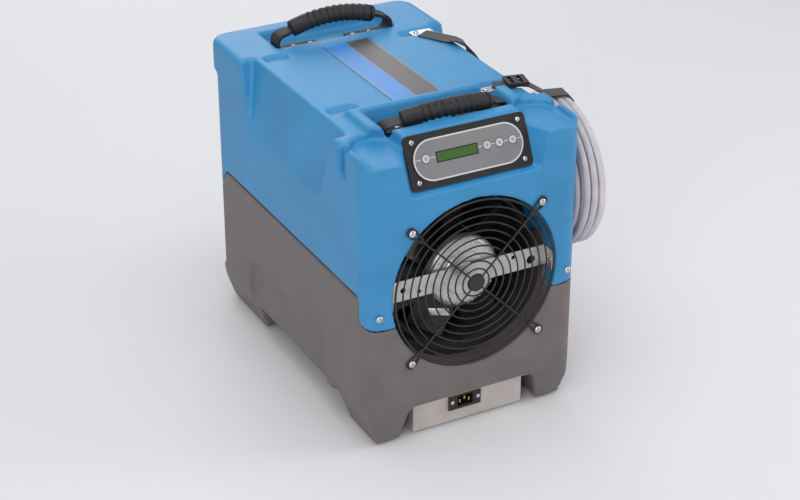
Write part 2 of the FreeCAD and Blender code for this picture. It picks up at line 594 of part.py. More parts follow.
motor_front = "bar_front + bar_thickness"
motor_profile = [("fan_shaft_radius + shaft_play", 2), ("fan_shaft_radius + shaft_play",
                 "motor_length"), ("motor_radius", "motor_length"), ("motor_radius", 5),
                 ("motor_radius - 5", 0), (0, 0), (0, 2)]
keep(turned("motor", motor_profile, 0, motor_front, "fan_height", ALONG_Y), "fan_motor")
hub_front = f"{motor_front} + motor_length + 0.4"
hub_profile = [("fan_shaft_radius", 0), ("hub_radius", 0), ("hub_radius", "hub_length"),
               ("hub_radius - 3", "hub_length"), ("hub_radius - 3", 4), (9, 4), (9, 20),
               ("fan_shaft_radius", 20)]
hub = turned("hub", hub_profile, 0, hub_front, "fan_height", ALONG_Y)
BLADES = 7
blades = []
for i in range(BLADES):
    blade = block(f"blade_{i}", (-26, 26), (-1.3, 1.3), ("hub_radius - 1.5", "impeller_radius + 5"))
    round_the_axis = FreeCAD.Rotation(V(0, 1, 0), 360 * i / BLADES)
    pitch = FreeCAD.Rotation(V(0, 0, 1), 32)
    local = FreeCAD.Placement(V(-26, -1.3, worth("hub_radius - 1.5")), FreeCAD.Rotation())
    for letter in "xyz":
        blade.setExpression(f"Placement.Base.{letter}", None)
    middle = FreeCAD.Placement(V(0, worth(f"{hub_front} + hub_length / 2"), worth("fan_height")),
                               round_the_axis.multiply(pitch))
    blade.Placement = middle.multiply(local)
    blades.append(blade)
reach = rod("blade_reach", "impeller_radius", "hub_length", 0, hub_front, "fan_height", ALONG_Y)
hub_core = rod("hub_core", "hub_radius - 1", "hub_length + 9", 0, f"{hub_front} - 2",
               "fan_height", ALONG_Y)
swept = overlap("blade_ring", joined("all_blades", blades), reach)
keep(joined("impeller", [hub, carved("trimmed_blades", swept, [hub_core])]), "fan_impeller")
keep(rod("shaft", "fan_shaft_radius", "motor_length + 18", 0, f"{motor_front} + 2.4",
         "fan_height", ALONG_Y), "fan_shaft")
ring_profile = [("ring_inside + 3", "ring_front"), ("ring_outside", "ring_front"),
                ("ring_outside", "partition_front - 3"), ("ring_outside + 17",
                "partition_front - 3"), ("ring_outside + 17", "partition_front - 0.3"),
                ("ring_outside", "partition_front - 0.3"),
                ("ring_outside", "partition_front + 8"), ("ring_inside", "partition_front + 8"),
                ("ring_inside", "ring_front + 7")]
keep(turned("orifice", ring_profile, 0, 0, "fan_height", ALONG_Y), "fan_ring")

# ---- control panel, drawn flat and tilted into place ----
bezel_blank = column("bezel_blank", ("-panel_half", "panel_half"),
                     ("-panel_half_slope", "panel_half_slope"), ("-bezel_thickness", "0"), "7")
BUTTONS = {"power_button": -63, "menu_button": 27, "up_button": 45.5, "down_button": 65.5}
BUTTON_ROW = 2.75
LENS = (("-48", "13.5"), ("-5.2", "8.8"))
bezel_cuts = [rod(f"{word}_hole", "button_radius + hold_play", "20", x, BUTTON_ROW, -10)
              for word, x in BUTTONS.items()]
bezel_cuts.append(block("lens_opening", ("-48.3", "13.8"), ("-5.5", "9.1"), ("-10", "10")))
bezel_screw_cuts = [rod(f"bezel_screw_hole_{i}", "2.2", "20", x, y, -10)
                    for i, (x, y) in enumerate(PANEL_SCREWS)]
keep(on_panel(carved("bezel", bezel_blank, bezel_cuts + bezel_screw_cuts)), "panel_bezel")
overlay_blank = column("overlay_blank", ("-82", "82"), ("-28.9", "28.9"), ("0", "0.8"), "28.5")
overlay_cuts = [rod(f"{word}_overlay_hole", "button_radius + hold_play", "20", x, BUTTON_ROW,
                    -10) for word, x in BUTTONS.items()]
overlay_cuts.append(block("overlay_opening", ("-48.3", "13.8"), ("-5.5", "9.1"), ("-10", "10")))
keep(on_panel(carved("overlay", overlay_blank, overlay_cuts)), "panel_overlay")
keep(on_panel(block("lens", LENS[0], LENS[1], ("-3", "1.1"))), "display_lens")
for word, x in BUTTONS.items():
    profile = [(0, -6), ("button_radius + 1.2", -6), ("button_radius + 1.2", -4.3),
               ("button_radius", -4.3), ("button_radius", 1.1), ("button_radius - 1.2", 1.7),
               (0, 1.7)]
    keep(on_panel(turned(word + "_cap", profile, x, BUTTON_ROW, 0)), word)
keep(group("panel_screw_set", [on_panel(screw(f"panel_screw_{i}", x, y, 0.2,
                                              FreeCAD.Rotation(), head=3.7))
                               for i, (x, y) in enumerate(PANEL_SCREWS)]), "panel_screws")
board = [block("board_plate", (-70, 70), (-20, 20), (-9.2, -7.6))]
for x in (-66, 66):
    for y in (-16, 16):
        board.append(rod(f"board_post_{len(board)}", 2.5, 3.7, x, y, -7.7))
board.append(block("board_chip", (-40, -10), (-14, 2), (-13, -9.1)))
board.append(block("board_relay", (20, 44), (-12, 8), (-22, -9.1)))
keep(on_panel(joined("board", board)), "control_board")

# ---- handles: one moulded strap each, with looped ends and a rubber grip ----


def arc_points(middle, radius, first, last, count):
    """Points on an arc in the X-Z plane, angles in degrees from +X."""
    steps = [math.radians(first + (last - first) * i / (count - 1)) for i in range(count)]
    return [V(middle[0] + radius * math.cos(a), 0, middle[1] + radius * math.sin(a))
            for a in steps]


def ribbon(points, thickness, width):
    """A flat strip of even thickness along points of the X-Z plane, as wide along Y."""
    sides = ([], [])
    for i, point in enumerate(points):
        before, after = points[max(i - 1, 0)], points[min(i + 1, len(points) - 1)]
        way = (after - before).normalize()
        normal = V(-way.z, 0, way.x)
        first = (point - before).normalize() if i else way
        stretch = 1 / max(0.5, abs(normal.dot(V(-first.z, 0, first.x))))
        for side, sign in zip(sides, (1, -1)):
            side.append(point + normal * (sign * stretch * thickness / 2))
    outline = sides[0] + sides[1][::-1]
    face = Part.Face(Part.makePolygon(outline + outline[:1]))
    face.translate(V(0, -width / 2, 0))
    return face.extrude(V(0, width, 0))


def shaped(name, shape, placement=None):
    """A shape that no sketch or primitive gives, placed after it is made."""
    feature = doc.addObject("Part::Feature", name)
    feature.Shape = shape
    if placement:
        feature.Placement = placement
    return feature


half, apex, end = worth("grip_half"), worth("grip_apex"), worth("grip_end")
arch_radius = (half ** 2 + (apex - end) ** 2) / (2 * (apex - end))
arch_middle = (0, apex - arch_radius)
spread = math.degrees(math.asin(half / arch_radius))
floor_line = worth("handle_floor + strap_thickness / 2 + strap_rest")
loop_radius = (worth("grip_end") - 3 - floor_line) / 2
loop_middle = (worth("loop_half - strap_thickness / 2") - loop_radius, floor_line + loop_radius)
right_side = arc_points(arch_middle, arch_radius, 90, 90 - spread, 7)
right_side += arc_points(loop_middle, loop_radius, 62, -90, 9)
right_side.append(V(worth("foot_tip"), 0, floor_line))
left_side = [V(-point.x, 0, point.z) for point in right_side]
handle_path = left_side[::-1] + right_side[1:]
strap_shape = ribbon(handle_path, worth("strap_thickness"), worth("strap_width"))
grip_path = arc_points(arch_middle, arch_radius, 90 + spread, 90 - spread, 13)
strap_slot = ribbon(arc_points(arch_middle, arch_radius, 94 + spread, 86 - spread, 19),
                    worth("strap_thickness + 2 * hold_play"),
                    worth("strap_width - 6 + 2 * hold_play"))
# inside the grip the strap narrows to a core that fits its slot
core_trim = []
for side in (-1, 1):
    y_edge = worth("strap_width / 2 - 3")
    corner = V(-half - 6, y_edge if side > 0 else -y_edge - 9, end - 6)
    core_trim.append(Part.makeBox(2 * half + 12, 9, 40, corner))
strap_shape = strap_shape.cut(core_trim)
strap_top = worth("handle_floor + strap_thickness + strap_rest")
for word in ("front", "rear"):
    row, lean = worth(f"{word}_handle_row"), math.radians(worth(f"{word}_handle_lean"))
    place = FreeCAD.Placement(V(0, row, 0), FreeCAD.Rotation())
    # the rubber flops forwards: its height above the screwed feet leans over
    flop = FreeCAD.Matrix()
    flop.A23, flop.A24 = -math.sin(lean), math.sin(lean) * strap_top
    flop.A33, flop.A34 = math.cos(lean), strap_top * (1 - math.cos(lean))
    grip_line = [flop.multVec(point) for point in grip_path]
    grip_spine = Part.Arc(grip_line[0], grip_line[6], grip_line[-1]).toShape()
    grip_section = Part.Circle(grip_line[0], grip_spine.tangentAt(grip_spine.FirstParameter),
                               worth("grip_radius")).toShape()
    grip_bar = Part.Wire(grip_spine).makePipeShell([Part.Wire(grip_section)], True, False)
    strap, slot = strap_shape, strap_slot
    if lean:
        strap, slot = strap.transformGeometry(flop), slot.transformGeometry(flop)
    drill = [Part.makeCylinder(2.2, 20, V(x, 0, worth("handle_floor") - 5))
             for x in HANDLE_SCREW_PLACES]
    keep(shaped(f"{word}_strap_body", strap.cut(drill), place), f"{word}_handle_strap")
    keep(shaped(f"{word}_grip_body", grip_bar.cut(slot), place), f"{word}_handle_grip")
deck_screws = [screw(f"handle_screw_{i}", x, row,
                     "handle_floor + strap_thickness + 2 * strap_rest",
                     FreeCAD.Rotation(), head=4.2, head_height=2.2, length=8.5)
               for i, (x, row) in enumerate(HANDLE_SCREWS)]
deck_screws += [screw(f"anchor_screw_{word}", x, row, "deck_height - 2", FreeCAD.Rotation(),
                      head=4.2, length=8.5) for word, x, row in ANCHORS]
keep(group("deck_screw_set", deck_screws), "deck_screws")

# ---- drain hose: outlet, lead, coil and end fitting ----
coil_x, coil_y, coil_z = worth("coil_middle_x"), worth("coil_row"), worth("coil_height")
wide, deep, bevel = "coil_half_width", "coil_half_depth", 8
coil_profile = [(f"coil_radius - {deep}", f"{bevel} - {wide}"),
                (f"coil_radius - {deep} + {bevel}", f"0 - {wide}"),
                (f"coil_radius + {deep} - {bevel}", f"0 - {wide}"),
                (f"coil_radius + {deep}", f"{bevel} - {wide}"),
                (f"coil_radius + {deep}", f"{wide} - {bevel}"),
                (f"coil_radius + {deep} - {bevel}", wide),
                (f"coil_radius - {deep} + {bevel}", wide),
                (f"coil_radius - {deep}", f"{wide} - {bevel}")]
keep(turned("coil", coil_profile, "coil_middle_x", "coil_row", "coil_height", ALONG_X),
     "drain_hose_coil")

BARB_X = f"{SIDE} + 17.5"
barb_elbow = doc.addObject("Part::Sphere", "barb_elbow")
barb_elbow.Radius = 9
move(barb_elbow, BARB_X, "barb_row", "barb_height")
barb_parts = [rod("barb_flange", "12", "3", f"{SIDE} - arch_depth + 0.3", "barb_row",
                  "barb_height", ALONG_X),
              rod("barb_body", "8", f"{BARB_X} - ({SIDE} - 12)", f"{SIDE} - 12", "barb_row",
                  "barb_height", ALONG_X),
              barb_elbow,
              rod("barb_arm", "6", "24", BARB_X, "barb_row", "barb_height", AGAINST_Y)]
keep(joined("barb", barb_parts), "hose_outlet_barb")

# the hose leaves the barb forwards and climbs in one gentle sweep into the coil
start = V(worth(BARB_X), worth("barb_row") - 24, worth("barb_height"))
LEAD_ROUTE = [start, V(180.5, 4, 100), V(181.5, -26, 110), V(183, -52, 131), V(184.5, -76, 158),
              V(186, -104, 186), V(186.4, -136, 205)]


def tube(points, radius, least_bend, corner_share=0.45):
    """Straight runs joined by tangent arcs as large as the runs allow."""
    edges = []
    here = points[0]
    for i in range(1, len(points) - 1):
        before, corner, after = points[i - 1], points[i], points[i + 1]
        run_in, run_out = corner - before, after - corner
        turn = run_in.getAngle(run_out)
        setback = corner_share * min(run_in.Length, run_out.Length)
        bend = setback / math.tan(turn / 2)
        if bend < least_bend:
            print("tight bend", i, round(bend, 1))
        way_in, way_out = V(run_in).normalize(), V(run_out).normalize()
        first, last = corner - way_in * setback, corner + way_out * setback
        inward = (way_out - way_in).normalize()
        crown = corner + inward * (bend / math.cos(turn / 2) - bend)
        edges.append(Part.LineSegment(here, first).toShape())
        edges.append(Part.Arc(first, crown, last).toShape())
        here = last
    edges.append(Part.LineSegment(here, points[-1]).toShape())
    spine = Part.Wire(edges)
    section = Part.Wire(Part.Circle(points[0], points[1] - points[0], radius).toShape())
    return spine, spine.makePipeShell([section], True, False)


spine, lead = tube(LEAD_ROUTE, worth("hose_diameter / 2"), 5 * worth("hose_diameter"))
expected = spine.Length * math.pi * worth("hose_diameter / 2") ** 2
print("hose lead", round(spine.Length, 1), "mm, volume ratio", round(lead.Volume / expected, 4))
keep(shaped("lead", lead), "drain_hose_lead")
fitting_profile = [(0, 0), (7, 0), (7, 22), (5.5, 22), (5.5, 30), (2.6, 30), (2.6, 82), (0, 82)]
keep(turned("fitting", fitting_profile, "coil_middle_x + 8",
            "coil_row + coil_radius + coil_half_depth - 5", "coil_height - 104"),
     "hose_end_fitting")

# webbing bands that hold the coil, screwed down at the deck
anchor_plates = []
for word, x, row in ANCHORS:
    plate = column(f"anchor_{word}", (x - 8, x + 26), (f"{row} - 8", f"{row} + 8"),
                   ("deck_height - 5", "deck_height - 2"), "3")
    anchor_plates.append(carved(f"anchor_{word}_drilled", plate,
                                [rod(f"anchor_{word}_drill", "2.2", "20", x, row,
                                     "deck_height - 12")]))
keep(group("anchors", anchor_plates), "strap_anchors")

thick = worth("band_thickness")
round_x, round_z = worth("coil_half_width") + 3.6, worth("coil_half_depth") + 1.6
lean_angle = math.degrees(math.atan2(20, 86))
band_start = V(106, worth("-107 - 0.4"), 0)
shrink = math.cos(math.radians(lean_angle))
middle_u = (coil_x - band_start.x) / shrink
middle_v = coil_z + worth("coil_radius")
half_u = round_x / shrink + thick / 2
half_v = round_z + thick / 2
low_v = half_v + 2.2
deck_line = worth("deck_height") + 1.1
front_band = [V(0, 0, deck_line), V(14, 0, deck_line), V(35, 0, deck_line + 1),
              V(46, 0, deck_line - 1),
              V(middle_u - 8, 0, middle_v + half_v + 0.4),
              V(middle_u + half_u - 9, 0, middle_v + half_v),
              V(middle_u + half_u, 0, middle_v + half_v - 9),
              V(middle_u + half_u, 0, middle_v - low_v + 9),
              V(middle_u + half_u - 9, 0, middle_v - low_v),
              V(middle_u - half_u + 9, 0, middle_v - low_v),
              V(middle_u - half_u, 0, middle_v - low_v + 9),
              V(middle_u - half_u, 0, middle_v + half_v - 13),
              V(middle_u - half_u + 7, 0, middle_v + half_v - 3)]
front_place = FreeCAD.Placement(band_start, FreeCAD.Rotation(V(0, 0, 1), -lean_angle))
keep(shaped("front_band", ribbon(front_band, thick, worth("band_width")), front_place),
     "front_hose_strap")


def band(points, sides, width, thickness):
    """Webbing through points, each with the direction of its width."""
    rings = []
    for i, (point, side) in enumerate(zip(points, sides)):
        way = (points[min(i + 1, len(points) - 1)] - points[max(i - 1, 0)]).normalize()
        across = side - way * side.dot(way)
        across.normalize()
        normal = way.cross(across)
        rings.append([point + across * (a * width / 2) + normal * (b * thickness / 2)
                      for a, b in ((-1, -1), (1, -1), (1, 1), (-1, 1))])
    outlines = [rings[0], rings[-1]]
    for near, far in zip(rings, rings[1:]):
        for i, j in ((0, 1), (1, 2), (2, 3), (3, 0)):
            outlines += [[near[i], near[j], far[j]], [near[i], far[j], far[i]]]
    skin = Part.makeShell([Part.Face(Part.makePolygon(line + line[:1])) for line in outlines])
    webbing = Part.makeSolid(skin)
    if webbing.Volume < 0:
        webbing.reverse()
    return webbing


hold_angle = math.radians(30)
out = V(0, math.cos(hold_angle), math.sin(hold_angle))
round_way = V(0, -math.sin(hold_angle), math.cos(hold_angle))
coil_middle = V(coil_x, coil_y, coil_z) + out * worth("coil_radius")


def round_the_bundle(across, outwards):
    return coil_middle + V(across, 0, 0) + out * outwards


over_deck = V(0.86, 0.5, 0)
rear_points = [V(112, 106, deck_line), V(120, 92, deck_line), V(136, 63, deck_line + 0.8),
               V(141, 52, deck_line + 2.4), V(147.5, 41, deck_line - 2.5),
               V(150, 28, deck_line - 15)]
rear_sides = [over_deck] * 3 + [V(0.8, 0.46, -0.25), V(0.6, 0.42, -0.68), V(0.2, 0.5, -0.84)]
ring = [(-12, 27.6), (16, 27.6), (25.4, 18), (25.4, -18), (16, -27.6), (-16, -27.6),
        (-25.4, -18), (-25.4, 12)]
rear_points += [round_the_bundle(a, b) for a, b in ring]
rear_sides += [round_way * -1] * len(ring)
keep(shaped("rear_band", band(rear_points, rear_sides, worth("band_width"), thick)),
     "rear_hose_strap")
buckle_low = deck_line + thick / 2 + 1.2
buckle_box = Part.makeBox(30, 29, 5, V(16, -14.5, buckle_low))
buckle_slots = [Part.makeBox(5, 22, 20, V(x, -11, buckle_low - 5)) for x in (21, 34)]
keep(shaped("buckle_body", buckle_box.cut(buckle_slots), front_place), "strap_buckle")

# ---- deck label, air filter and grille at the back ----
keep(block("label_plate", ("-label_half", "label_half"), ("label_front", "label_rear"),
           ("deck_height", "deck_height + 0.8")), "top_label")
frame_out = column("filter_frame", ("hold_play - filter_half", "filter_half - hold_play"),
                   ("rear_face - filter_depth - 0.7", "rear_face + 3"),
                   ("filter_bottom + hold_play", "filter_top - hold_play"), "1")
frame_cuts = []
COLUMNS, ROWS = 3, 2
for i in range(COLUMNS):
    for j in range(ROWS):
        wide_span = f"(2 * filter_half - 16) / {COLUMNS}"
        high_span = f"(filter_top - filter_bottom - 16) / {ROWS}"
        frame_cuts.append(block(f"filter_cell_{i}_{j}",
                                (f"8 - filter_half + {i} * {wide_span} + 2",
                                 f"8 - filter_half + {i + 1} * {wide_span} - 2"),
                                ("rear_face - filter_depth + 9", "rear_face + 20"),
                                (f"filter_bottom + 8 + {j} * {high_span} + 2",
                                 f"filter_bottom + 8 + {j + 1} * {high_span} - 2")))
frame_cuts.append(block("pull_slot", (-22, 22), ("rear_face - 5", "rear_face + 20"),
                        ("filter_top - 7", "filter_top - 3")))
keep(carved("filter", frame_out, frame_cuts), "air_filter")
grille_blank = block("grille_plate", ("10 - filter_half - 6", "filter_half - 4"),
                     ("rear_face - filter_depth - 9.5", "rear_face - filter_depth - 6.3"),
                     ("filter_bottom + 4", "filter_top - 4"))
slots = []
GRILLE_SLOTS = 9
for i in range(GRILLE_SLOTS):
    pitch = f"(filter_top - filter_bottom - 28) / {GRILLE_SLOTS}"
    slots.append(block(f"grille_slot_{i}", ("16 - filter_half", "filter_half - 16"),
                       ("rear_face - filter_depth - 20", "rear_face - filter_depth + 9"),
                       (f"filter_bottom + 14 + {i} * {pitch}",
                        f"filter_bottom + 9 + {i + 1} * {pitch}")))
keep(carved("grille", grille_blank, slots), "intake_grille")

# ---- metal base pan and power inlet ----
pan_outer = block("pan_outer", ("-pan_half", "pan_half"), ("pan_front", "pan_rear"),
                  ("pan_bottom", "skirt_height + housing_wall + 0.3 + pan_wall"))
pan_rim = block("pan_rim", ("-pan_half - pan_flange", "pan_half + pan_flange"),
                ("pan_front - 10", "pan_rear + pan_flange"),
                ("skirt_height + housing_wall + 0.3",
                 "skirt_height + housing_wall + 0.3 + pan_wall"))
pan_inner = block("pan_inner", ("pan_wall - pan_half", "pan_half - pan_wall"),
                  ("pan_front + pan_wall", "pan_rear - pan_wall"),
                  ("pan_bottom + pan_wall", "skirt_height + 30"))
INLET_EARS = (-20, 20)
inlet_hole = block("inlet_hole", ("inlet_x - 14.3", "inlet_x + 14.3"),
                   ("pan_front - 5", "pan_front + 9"), ("inlet_height - 10.3",
                                                        "inlet_height + 10.3"))
pan_holes = [screw_hole(f"inlet_screw_hole_{i}", f"inlet_x + {x}", "pan_front - 3",
                        "inlet_height", AGAINST_Y, shank=1.5) for i, x in enumerate(INLET_EARS)]
FOOT_HEADINGS = (90, 210, 330)
COMPRESSOR_FEET = [(worth("foot_circle") * math.cos(math.radians(a)),
                    worth("foot_circle") * math.sin(math.radians(a))) for a in FOOT_HEADINGS]
pan_holes += [rod(f"stud_hole_{i}", 3.3, 20, x, f"compressor_row + {y:.3f}", "pan_bottom - 9")
              for i, (x, y) in enumerate(COMPRESSOR_FEET)]
keep(carved("pan", joined("pan_blank", [pan_outer, pan_rim]),
            [pan_inner, inlet_hole] + pan_holes), "base_pan")
inlet_plate = column("inlet_flange", ("inlet_x - 25", "inlet_x + 25"),
                     ("pan_front - 3.3", "pan_front - 0.3"),
                     ("inlet_height - 12", "inlet_height + 12"), "1")
inlet_body = block("inlet_body", ("inlet_x - 14", "inlet_x + 14"),
                   ("pan_front - 1", "pan_front + 18"), ("inlet_height - 10",
                                                         "inlet_height + 10"))
socket = block("inlet_socket", ("inlet_x - 12", "inlet_x + 12"),
               ("pan_front - 9", "pan_front + 13"), ("inlet_height - 8", "inlet_height + 8"))
ear_drills = [rod(f"inlet_drill_{i}", 1.8, 20, f"inlet_x + {x}", "pan_front - 9",
                  "inlet_height", ALONG_Y) for i, x in enumerate(INLET_EARS)]
keep(carved("inlet", joined("inlet_blank", [inlet_plate, inlet_body]), [socket] + ear_drills),
     "power_inlet")
pins = [block(f"inlet_pin_{i}", (f"inlet_x + {x} - 1", f"inlet_x + {x} + 1"),
              ("pan_front - 1", "pan_front + 13"), (f"inlet_height + {z} - 2.5",
                                                    f"inlet_height + {z} + 2.5"))
        for i, (x, z) in enumerate(((-7, -1.5), (0, 2), (7, -1.5)))]
keep(group("pins", pins), "inlet_pins")
keep(group("inlet_screw_set", [screw(f"inlet_screw_{i}", f"inlet_x + {x}", "pan_front - 3.3",
                                     "inlet_height", AGAINST_Y, head=2.8, head_height=1.8,
                                     shank=1.5) for i, x in enumerate(INLET_EARS)]),
     "inlet_screws")

# ---- rotary compressor ----
ROW = "compressor_row"
BORE = "cylinder_radius"
inside = "shell_radius - shell_wall"
keep(washer("shell_tube", inside, "shell_radius", "shell_top - shell_bottom", 0, ROW,
            "shell_bottom"), "compressor_shell")
top_cap = [(0, 24), ("shell_radius - 22", 22), ("shell_radius - 6", 10), ("shell_radius", 0),
           (inside, 0), ("shell_radius - 9", 7), ("shell_radius - 24", 18), (0, 20)]
stub = washer("discharge_stub", 3.2, 5, 16, 0, ROW, "shell_top + 18")
discharge_bore = rod("discharge_bore", 3.2, 30, 0, ROW, "shell_top + 10")
keep(joined("top_cap_stub", [carved("top_cap_bored", turned(
    "top_cap", top_cap, 0, ROW, "shell_top"), [discharge_bore]), stub]), "compressor_top_cap")
bottom_cap = turned("bottom_cap", [(0, -14), ("shell_radius - 20", -13), ("shell_radius", 0),
                                   (inside, 0), ("shell_radius - 22", -10), (0, -10.5)],
                    0, ROW, "shell_bottom")
foot_plates = []
for i, (x, y) in enumerate(COMPRESSOR_FEET):
    arm = doc.addObject("Part::Box", f"foot_arm_{i}")
    arm.Length, arm.Width, arm.Height = 38, 30, 3
    heading = FreeCAD.Rotation(V(0, 0, 1), FOOT_HEADINGS[i])
    arm.Placement = FreeCAD.Placement(
        heading.multVec(V(48, -15, 0)) + V(0, worth(ROW), worth("shell_bottom") - 13.5), heading)
    foot_plates.append(arm)
foot_plates.append(washer("foot_ring", 32, 52, 3, 0, ROW, "shell_bottom - 13.5"))
feet_drills = [rod(f"foot_drill_{i}", 6.3, 20, x, f"{ROW} + {y:.3f}", "shell_bottom - 20")
               for i, (x, y) in enumerate(COMPRESSOR_FEET)]
keep(joined("bottom_with_feet", [bottom_cap, carved("feet_drilled", joined(
    "foot_plate", foot_plates), feet_drills)]), "compressor_bottom_cap")
grommets = []
nuts = []
stud_seat = "pan_bottom + pan_wall"
for i, (x, y) in enumerate(COMPRESSOR_FEET):
    seat = f"{ROW} + {y:.3f}"
    under = f"shell_bottom - 13.8 - ({stud_seat} + 0.3)"
    profile = [(3.6, 0), (11, 0), (11, under), (6, under), (6, f"{under} + 4"),
               (9, f"{under} + 4"), (9, f"{under} + 8"), (3.6, f"{under} + 8")]
    grommets.append(turned(f"grommet_{i}", profile, x, seat, f"{stud_seat} + 0.3"))
    tall = f"{under} + 8 + 0.6"
    bolt = [(0, -4.5), (6, -4.5), (6, -1.9), (3, -1.9), (3, tall), (7, tall), (7, f"{tall} + 5"),
            (0, f"{tall} + 5")]
    nuts.append(turned(f"stud_{i}", bolt, x, seat, stud_seat))
keep(group("grommet_set", grommets), "compressor_grommets")
keep(group("stud_set", nuts), "compressor_studs")

keep(washer("stator", "stator_bore", f"{inside} - 0.05", "stator_height", 0, ROW,
            "stator_bottom"), "compressor_stator")
keep(washer("rotor", "crank_radius", "rotor_radius", "stator_height - 2", 0, ROW,
            "stator_bottom + 1"), "compressor_rotor")
plate = "cylinder_bottom"
journal = turned("journal", [(0, f"{plate} - 18"), ("crank_radius", f"{plate} - 18"),
                             ("crank_radius", "stator_bottom + stator_height + 4"),
                             (0, "stator_bottom + stator_height + 4")], 0, ROW, 0)
eccentric = rod("eccentric", "crank_eccentric", "cylinder_height - 1", 0,
                f"{ROW} + crank_throw", f"{plate} + 0.5")
keep(joined("crank", [journal, eccentric]), "crankshaft")
keep(washer("piston", "crank_eccentric + shaft_play", "piston_radius",
            "cylinder_height - 0.6", 0, f"{ROW} + crank_throw", f"{plate} + 0.3"),
     "rolling_piston")
vane_slot = block("vane_slot", ("-2.05", "2.05"), (f"{ROW} + {BORE} - 2", f"{ROW} + {BORE} + 22"),
                  (f"{plate} - 5", f"{plate} + cylinder_height + 5"))
port = rod("suction_port", 4, 40, 0, ROW, f"{plate} + cylinder_height / 2",
           FreeCAD.Rotation(V(0, 0, 1), V(0.87, 0.5, 0)))
keep(carved("cylinder", washer("cylinder_ring", BORE, f"{inside} - 0.05", "cylinder_height",
                               0, ROW, plate), [vane_slot, port]), "cylinder_block")
keep(block("vane_blade", (-2, 2), (f"{ROW} + {BORE} + 0.2", f"{ROW} + {BORE} + 20"),
           (f"{plate} + 0.1", f"{plate} + cylinder_height - 0.1")), "vane")
journal_bore = "crank_radius + shaft_play"
keep(turned("main_bearing_body", [(journal_bore, 0), ("46", 0), ("46", 7), (16, 9), (16, 38),
                                  (journal_bore, 38)], 0, ROW,
            f"{plate} + cylinder_height"), "main_bearing")
keep(turned("lower_bearing_body", [(journal_bore, 0), ("40", 0), ("40", -7), (14, -8),
                                   (14, -20), (journal_bore, -20)], 0, ROW, plate),
     "lower_bearing")
tank = turned("tank", [(0, 0), (20, 4), (24, 12), (24, 108), (20, 116), (0, 120)],
              "accumulator_x", "accumulator_row", 92)
tank_inlet = rod("tank_inlet", 5, 18, "accumulator_x", "accumulator_row", 208)
clamp = block("tank_clamp", (48, "accumulator_x - 14"),
              ("accumulator_row - 16", "accumulator_row - 6"), (150, 162))
clamp_trim = rod("tank_clamp_trim", "shell_radius + 0.2", 40, 0, ROW, 140)
keep(joined("tank_group", [tank, tank_inlet, carved("clamp_cut", clamp, [clamp_trim])]),
     "accumulator")

# ---- coils, lines, pump and capacitor ----
pack_floor = "skirt_height + housing_wall + 0.3 + pan_wall + 0.3"


def coil_pack(name, row, fin_count, tube_rows):
    """A finned block: end plates, fins and the tubes through them, with return bends."""
    low, high = f"{row} - coil_pack_depth / 2", f"{row} + coil_pack_depth / 2"
    parts = []
    for i in range(fin_count):
        x = f"-coil_pack_half + {i} * (2 * coil_pack_half - 2) / {fin_count - 1}"
        parts.append(block(f"{name}_fin_{i}", (x, f"{x} + 2"), (low, high),
                           (pack_floor, f"{pack_floor} + coil_pack_height")))
    for j in range(tube_rows):
        z = f"{pack_floor} + 20 + {j} * (coil_pack_height - 40) / {tube_rows - 1}"
        parts.append(rod(f"{name}_tube_{j}", 5, "2 * coil_pack_half + 12",
                         "-coil_pack_half - 6", row, z, ALONG_X))
    return joined(name, parts)


keep(coil_pack("evaporator_pack", "evaporator_row", 24, 8), "evaporator")
keep(coil_pack("condenser_pack", "condenser_row", 24, 8), "condenser")
pump = block("pump_case", (-76, -22), (24, 66), (f"{stud_seat} + 0.3", 68))
pump_top = rod("pump_motor", 15, 30, -49, 45, 67)
keep(joined("pump", [pump, pump_top]), "condensate_pump")
capacitor = turned("capacitor", [(0, 0), (20, 0), (20, 78), (17, 82), (0, 82)], 48, 40,
                   f"{stud_seat} + 0.3")
keep(capacitor, "run_capacitor")


def line(name, points):
    return shaped(name, tube([V(*p) for p in points], 3.1, 8, 0.3)[1])


row = worth(ROW)
stub_top = worth("shell_top") + 34.3
tank_top = 226.3
tube_x = worth("coil_pack_half") + 6.3
condenser_y, evaporator_y = worth("condenser_row"), worth("evaporator_row")
first_tube = worth(pack_floor) + 20
tube_step = worth("coil_pack_height - 40") / 7
tank_x, tank_y = worth("accumulator_x"), worth("accumulator_row")
lines = [line("discharge_line", [(0, row, stub_top), (0, row, 290), (-60, -20, 300),
                                 (-148, 30, 300), (-148, condenser_y, 310),
                                 (-148, condenser_y, first_tube + 5 * tube_step - 6)]),
         line("suction_line", [(tank_x, tank_y, tank_top), (tank_x, tank_y, 270),
                               (112, 12, 290), (148, 66, 290), (148, evaporator_y, 300),
                               (148, evaporator_y, first_tube + 4 * tube_step - 6)])]
keep(group("line_set", lines), "refrigerant_lines")

# ---- check every feature and sub-part, then write them ----
doc.recompute()
for thing in doc.Objects:
    if "Invalid" in thing.State or "Error" in thing.State:
        raise RuntimeError(f"{thing.Name} failed: {thing.State}")
os.makedirs("parts", exist_ok=True)
for thing in NODES:
    if thing.Shape.isNull() or not thing.Shape.isValid():
        raise RuntimeError(f"{thing.Label} has no valid shape")
    thing.Shape.exportStep(os.path.join("parts", thing.Label + ".step"))
print(len(NODES), "sub-parts written")
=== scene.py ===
import math

import bmesh
import bpy
from mathutils import Euler, Matrix, Vector


